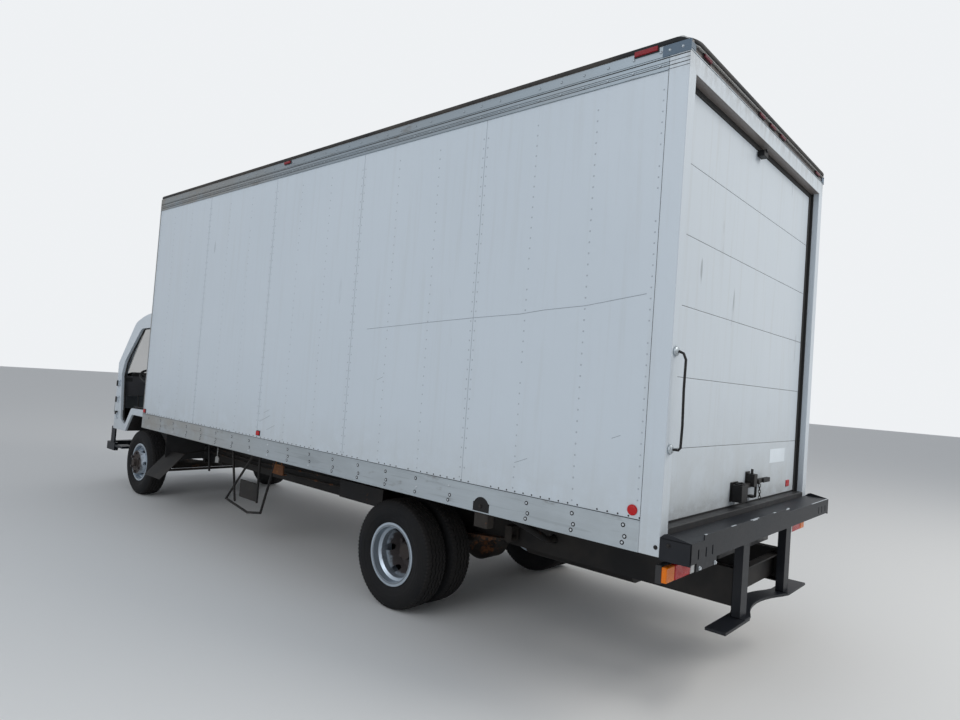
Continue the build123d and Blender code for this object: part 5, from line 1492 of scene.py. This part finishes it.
# %% Cab inside
bm = bmesh.new()
for x0, x1 in ((0.450, 0.840), (-0.850, -0.280)):
    add_boxes(bm, ((x0, x1, -2.955, -2.545, 0.9795, 1.085),
                   (x0 - 0.012, x1 + 0.012, -2.970, -2.520, 1.083, 1.126),
                   (x0 + 0.02, x1 - 0.02, -2.524, -2.506, 1.126, 1.62)))
for x in (0.600, 0.690):
    add_bar(bm, (x, -2.558, 1.590), (x, -2.558, 1.660), 0.006, 10)
add_bar(bm, (0.893, -2.560, 1.150), (0.893, -2.720, 1.150), 0.012, 12)
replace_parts(settle(bm, "seat_frames", "cab", "cab_plastic", black_plastic, bevel=0.006), "seats")

wheel_centre = Vector((0.645, -3.359, 1.380))
wheel_axis = Vector((0, 0.5, 0.866)).normalized()
wheel_up = Vector((0, -0.866, 0.5)).normalized()
column_runs = (
    # places along the wheel's axis from and to, radius, sides, end radius: hub, shroud and column
    (-0.030, 0.012, 0.058, 28, 0.044), (-0.160, -0.030, 0.046, 24, 0.036), (-0.690, -0.150, 0.022, 16, 0.022),
)
bm = bmesh.new()
add_link(bm, wheel_centre + wheel_axis * 0.012, (1, 0, 0), wheel_up, 0.205, 0.205, 0.0145, 64, 12)
for angle in (90, 210, 330):
    way = Vector((1, 0, 0)) * math.cos(math.radians(angle)) - wheel_up * math.sin(math.radians(angle))
    add_bar(bm, wheel_centre + way * 0.040, wheel_centre + way * 0.200 + wheel_axis * 0.010,
            0.014, 10, 0.010)
for start, end, radius, sides, end_radius in column_runs:
    add_bar(bm, wheel_centre + wheel_axis * start, wheel_centre + wheel_axis * end, radius, sides, end_radius)
stalk_foot = wheel_centre - wheel_axis * 0.070
for side in (1, -1):
    add_bar(bm, stalk_foot, stalk_foot + Vector((side * 0.150, -0.010, 0.020)), 0.006, 8, 0.009)
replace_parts(settle(bm, "steering_ring", "cab", "cab_plastic", black_plastic), "steering_wheel")

hood_outline = ((-3.780, 1.398), (-3.600, 1.398), (-3.585, 1.440), (-3.600, 1.452), (-3.720, 1.440))
dash_rows = [
    # x, y and z, each from and to: the instrument panel, the glove box and its catch
    (0.130, 0.370, -3.582, -3.573, 1.200, 1.305),
    (-0.780, -0.330, -3.5812, -3.5772, 1.190, 1.310),
    (-0.580, -0.530, -3.5780, -3.5720, 1.296, 1.304),
]
vents = ((0.905, 0.040), (0.330, 0.055), (0.180, 0.055), (-0.860, 0.055))
dash_rows += [(x - half, x + half, -3.5810, -3.5760, 1.330, 1.375) for x, half in vents]
bm = bmesh.new()
add_prism(bm, hood_outline, 0.430, 0.860)
add_boxes(bm, dash_rows)
for knob_x in (0.160, 0.210, 0.260, 0.310):
    add_bar(bm, (knob_x, -3.575, 1.170), (knob_x, -3.566, 1.170), 0.012, 16)
for pedal_x in (0.440, 0.560, 0.790):
    add_box(bm, (pedal_x - 0.026, -3.470, 0.850), (pedal_x + 0.026, -3.462, 0.930))
    add_bar(bm, (pedal_x, -3.475, 0.900), (pedal_x, -3.560, 1.160), 0.007, 8)
add_bar(bm, (0.060, -3.180, 0.960), (0.040, -3.230, 1.190), 0.009, 12)
add_bar(bm, (0.040, -3.230, 1.185), (0.038, -3.236, 1.225), 0.018, 16, 0.022)
settle(bm, "dash_fittings", "cab", "cab_plastic", black_plastic, bevel=0.002)

settle_boxes(((-0.780, 0.780, -2.4455, -2.4400, 0.990, 1.530),), "cab_lining", "cab", "cab_plastic",
             liner_brown, bevel=0.002)
mat_rows = (
    # x, y and z, each from and to: under the seats, before them, the engine cover and its face
    (-0.790, 0.790, -3.060, -2.500, 0.9792, 0.9850),
    (-0.780, 0.780, -3.600, -3.410, 0.7600, 0.7680),
    (-0.480, 0.480, -3.409, -3.080, 0.7600, 0.7680),
    (-0.480, 0.480, -3.086, -3.060, 0.7680, 0.9850),
)
settle_boxes(mat_rows, "cab_mats", "cab", "cab_plastic", black_plastic, bevel=0.002)

# %% [markdown]
# Round the doorway runs a rubber seal, with the hinge leaves of the missing door ahead of it. The face
# of the cab has lamp rims, wipers on the screen and rubber round the glass.

# %% Cab outside
doorway = (
    # y and z, from the foot of the front post round to where it began
    (-3.352, 0.815), (-3.485, 0.872), (-3.568, 1.400), (-3.560, 1.560), (-3.500, 1.680), (-3.285, 1.990),
    (-3.240, 2.010), (-2.660, 2.027), (-2.632, 1.990), (-2.632, 1.070), (-2.660, 1.044), (-3.180, 1.036),
    (-3.340, 0.822),
)
seal_x, lean_start_z, lean = 0.962, 1.440, 0.105 / 0.775
bm = bmesh.new()
add_tube(bm, [(seal_x - max(z - lean_start_z, 0.0) * lean, y, z) for y, z in doorway], 0.009, 10)
settle(bm, "doorway_seal", "cab", "hardware_black", seal_rubber)
bm = bmesh.new()
for y, z, height in ((-3.650, 1.301, 0.070), (-3.650, 1.097, 0.070), (-3.630, 0.930, 0.040)):
    add_box(bm, (0.985, y - 0.016, z - height / 2), (1.020, y + 0.018, z + height / 2))
    add_bar(bm, (1.016, y + 0.014, z - height / 2), (1.016, y + 0.014, z + height / 2), 0.010, 12)
settle(bm, "hinge_leaves", "cab", "hardware_black", seal_rubber, bevel=0.002)

rim_spans = (
    # x and z, each from and to: bottom, top, inner and outer bar
    (0.548, 0.812, 0.888, 0.900), (0.548, 0.812, 1.020, 1.032), (0.548, 0.560, 0.900, 1.020),
    (0.800, 0.812, 0.900, 1.020),
)
settle_boxes([(x0, x1, -3.946, -3.905, z0, z1) for x0, x1, z0, z1 in rim_spans],
             "headlamp_rims", "cab", "cab_plastic", black_plastic, True, bevel=0.003)
bowl_profile = ((-3.9375, 0.0005), (-3.9375, 0.046), (-3.9400, 0.050), (-3.9430, 0.046),
                (-3.9385, 0.030), (-3.9385, 0.0005))
bm = bmesh.new()
for side in (1, -1):
    for x in (0.620, 0.740):
        add_turned(bm, bowl_profile, (side * x, 0.0, 0.960), 32, backwards=True)
settle(bm, "headlamp_bowls", "cab", "lens_clear", worn_steel)


def on_screen(x, z, out):
    """A point in front of the sloping screen."""
    slope = Vector((0, -0.894, 0.448))
    return Vector((x, -3.825 + (z - 1.400) * 0.501, z)) + slope * out


bm = bmesh.new()
for pivot_x, tip_x in ((0.560, 0.060), (-0.060, -0.560)):
    middle_x = (pivot_x + tip_x) / 2
    add_bar(bm, on_screen(pivot_x, 1.385, 0.004), on_screen(pivot_x, 1.385, 0.026), 0.011, 12)
    add_bar(bm, on_screen(pivot_x, 1.388, 0.022), on_screen(middle_x, 1.442, 0.020), 0.005, 8)
    add_bar(bm, on_screen(tip_x - 0.02, 1.447, 0.010), on_screen(pivot_x - 0.16, 1.437, 0.010), 0.005, 6)
    add_bar(bm, on_screen(middle_x, 1.442, 0.020), on_screen(middle_x, 1.442, 0.008), 0.006, 8)
settle(bm, "wipers", "cab", "cab_plastic", black_plastic)
screen_rim = ((-0.850, 1.402), (0.850, 1.402), (0.780, 2.040), (-0.780, 2.040), (-0.850, 1.402))
rear_rim = ((0.420, 1.600), (0.420, 1.920), (0.400, 1.955), (0.370, 1.970), (-0.370, 1.970),
            (-0.400, 1.955), (-0.420, 1.920), (-0.420, 1.600), (-0.400, 1.565), (-0.370, 1.550),
            (0.370, 1.550), (0.400, 1.565), (0.420, 1.600))
bm = bmesh.new()
add_tube(bm, [on_screen(x, z, 0.003) for x, z in screen_rim], 0.008, 8)
add_tube(bm, [(x, -2.402, z) for x, z in rear_rim], 0.008, 8)
settle(bm, "glass_seals", "cab", "hardware_black", seal_rubber)
settle_boxes(((-1.026, -1.012, -2.800, -2.670, 1.290, 1.330), (-1.018, -1.011, -2.690, -2.665, 1.200, 1.225)),
             "door_handle", "door_right", "cab_plastic", black_plastic, bevel=0.004)
print("cab outside made")

# %% [markdown]
# The floor, the backdrop and the light. The floor is pale and matt. The world is even and soft, and
# two large area lamps model the forms: a key from high behind the left, a weaker one from the other side.
# What the camera and reflections see of the world is a plain pale tone that lights nothing.

# %% Floor and light
floor_half = 60.0
floor_mesh = bpy.data.meshes.new("studio_floor")
floor_mesh.from_pydata([(-floor_half, -floor_half, 0), (floor_half, -floor_half, 0),
                        (floor_half, floor_half, 0), (-floor_half, floor_half, 0)], [], [(0, 1, 2, 3)])
floor_finish = Finish("studio_floor")
floor_mesh.materials.append(floor_finish.done(rgb(0.80, 0.80, 0.79), 0.9))
studio_floor = bpy.data.objects.new("studio_floor", floor_mesh)
bpy.context.collection.objects.link(studio_floor)

world = bpy.data.worlds.new("studio")
bpy.context.scene.world = world
world.use_nodes = True
sky = world.node_tree
sky.nodes.clear()
path = sky.nodes.new("ShaderNodeLightPath")
rays = [Flow(sky, path.outputs[name]) for name in ("Is Camera Ray", "Is Glossy Ray", "Is Transmission Ray")]
seen = over(over(rays[0], rays[1] * 0.6), rays[2])
lighting = node(sky, "ShaderNodeBackground", (), {0: rgb(0.88, 0.93, 1.0), 1: 0.46})
backdrop = node(sky, "ShaderNodeBackground", (), {0: rgb(0.86, 0.88, 0.90), 1: 1.0})
blended = node(sky, "ShaderNodeMixShader", (), {0: seen, 1: lighting, 2: backdrop})
sky_out = sky.nodes.new("ShaderNodeOutputWorld")
sky.links.new(blended.socket, sky_out.inputs[0])


def soft_lamp(name, place, target, size, power, colour):
    """A square area lamp aimed at a point."""
    data = bpy.data.lights.new(name, "AREA")
    data.shape = "SQUARE"
    data.size = size
    data.energy = power
    data.color = colour
    lamp = bpy.data.objects.new(name, data)
    lamp.location = place
    lamp.rotation_euler = (Vector(target) - Vector(place)).to_track_quat("-Z", "Y").to_euler()
    bpy.context.collection.objects.link(lamp)


soft_lamp("key", (-4.0, 11.0, 9.0), (0, 2.0, 1.5), 6.0, 620, (1.0, 0.97, 0.92))
soft_lamp("fill", (11.0, 2.0, 6.0), (0, 0, 1.2), 8.0, 330, (0.92, 0.96, 1.0))
scene = bpy.context.scene
scene.view_settings.view_transform = "Standard"
print("studio ready")
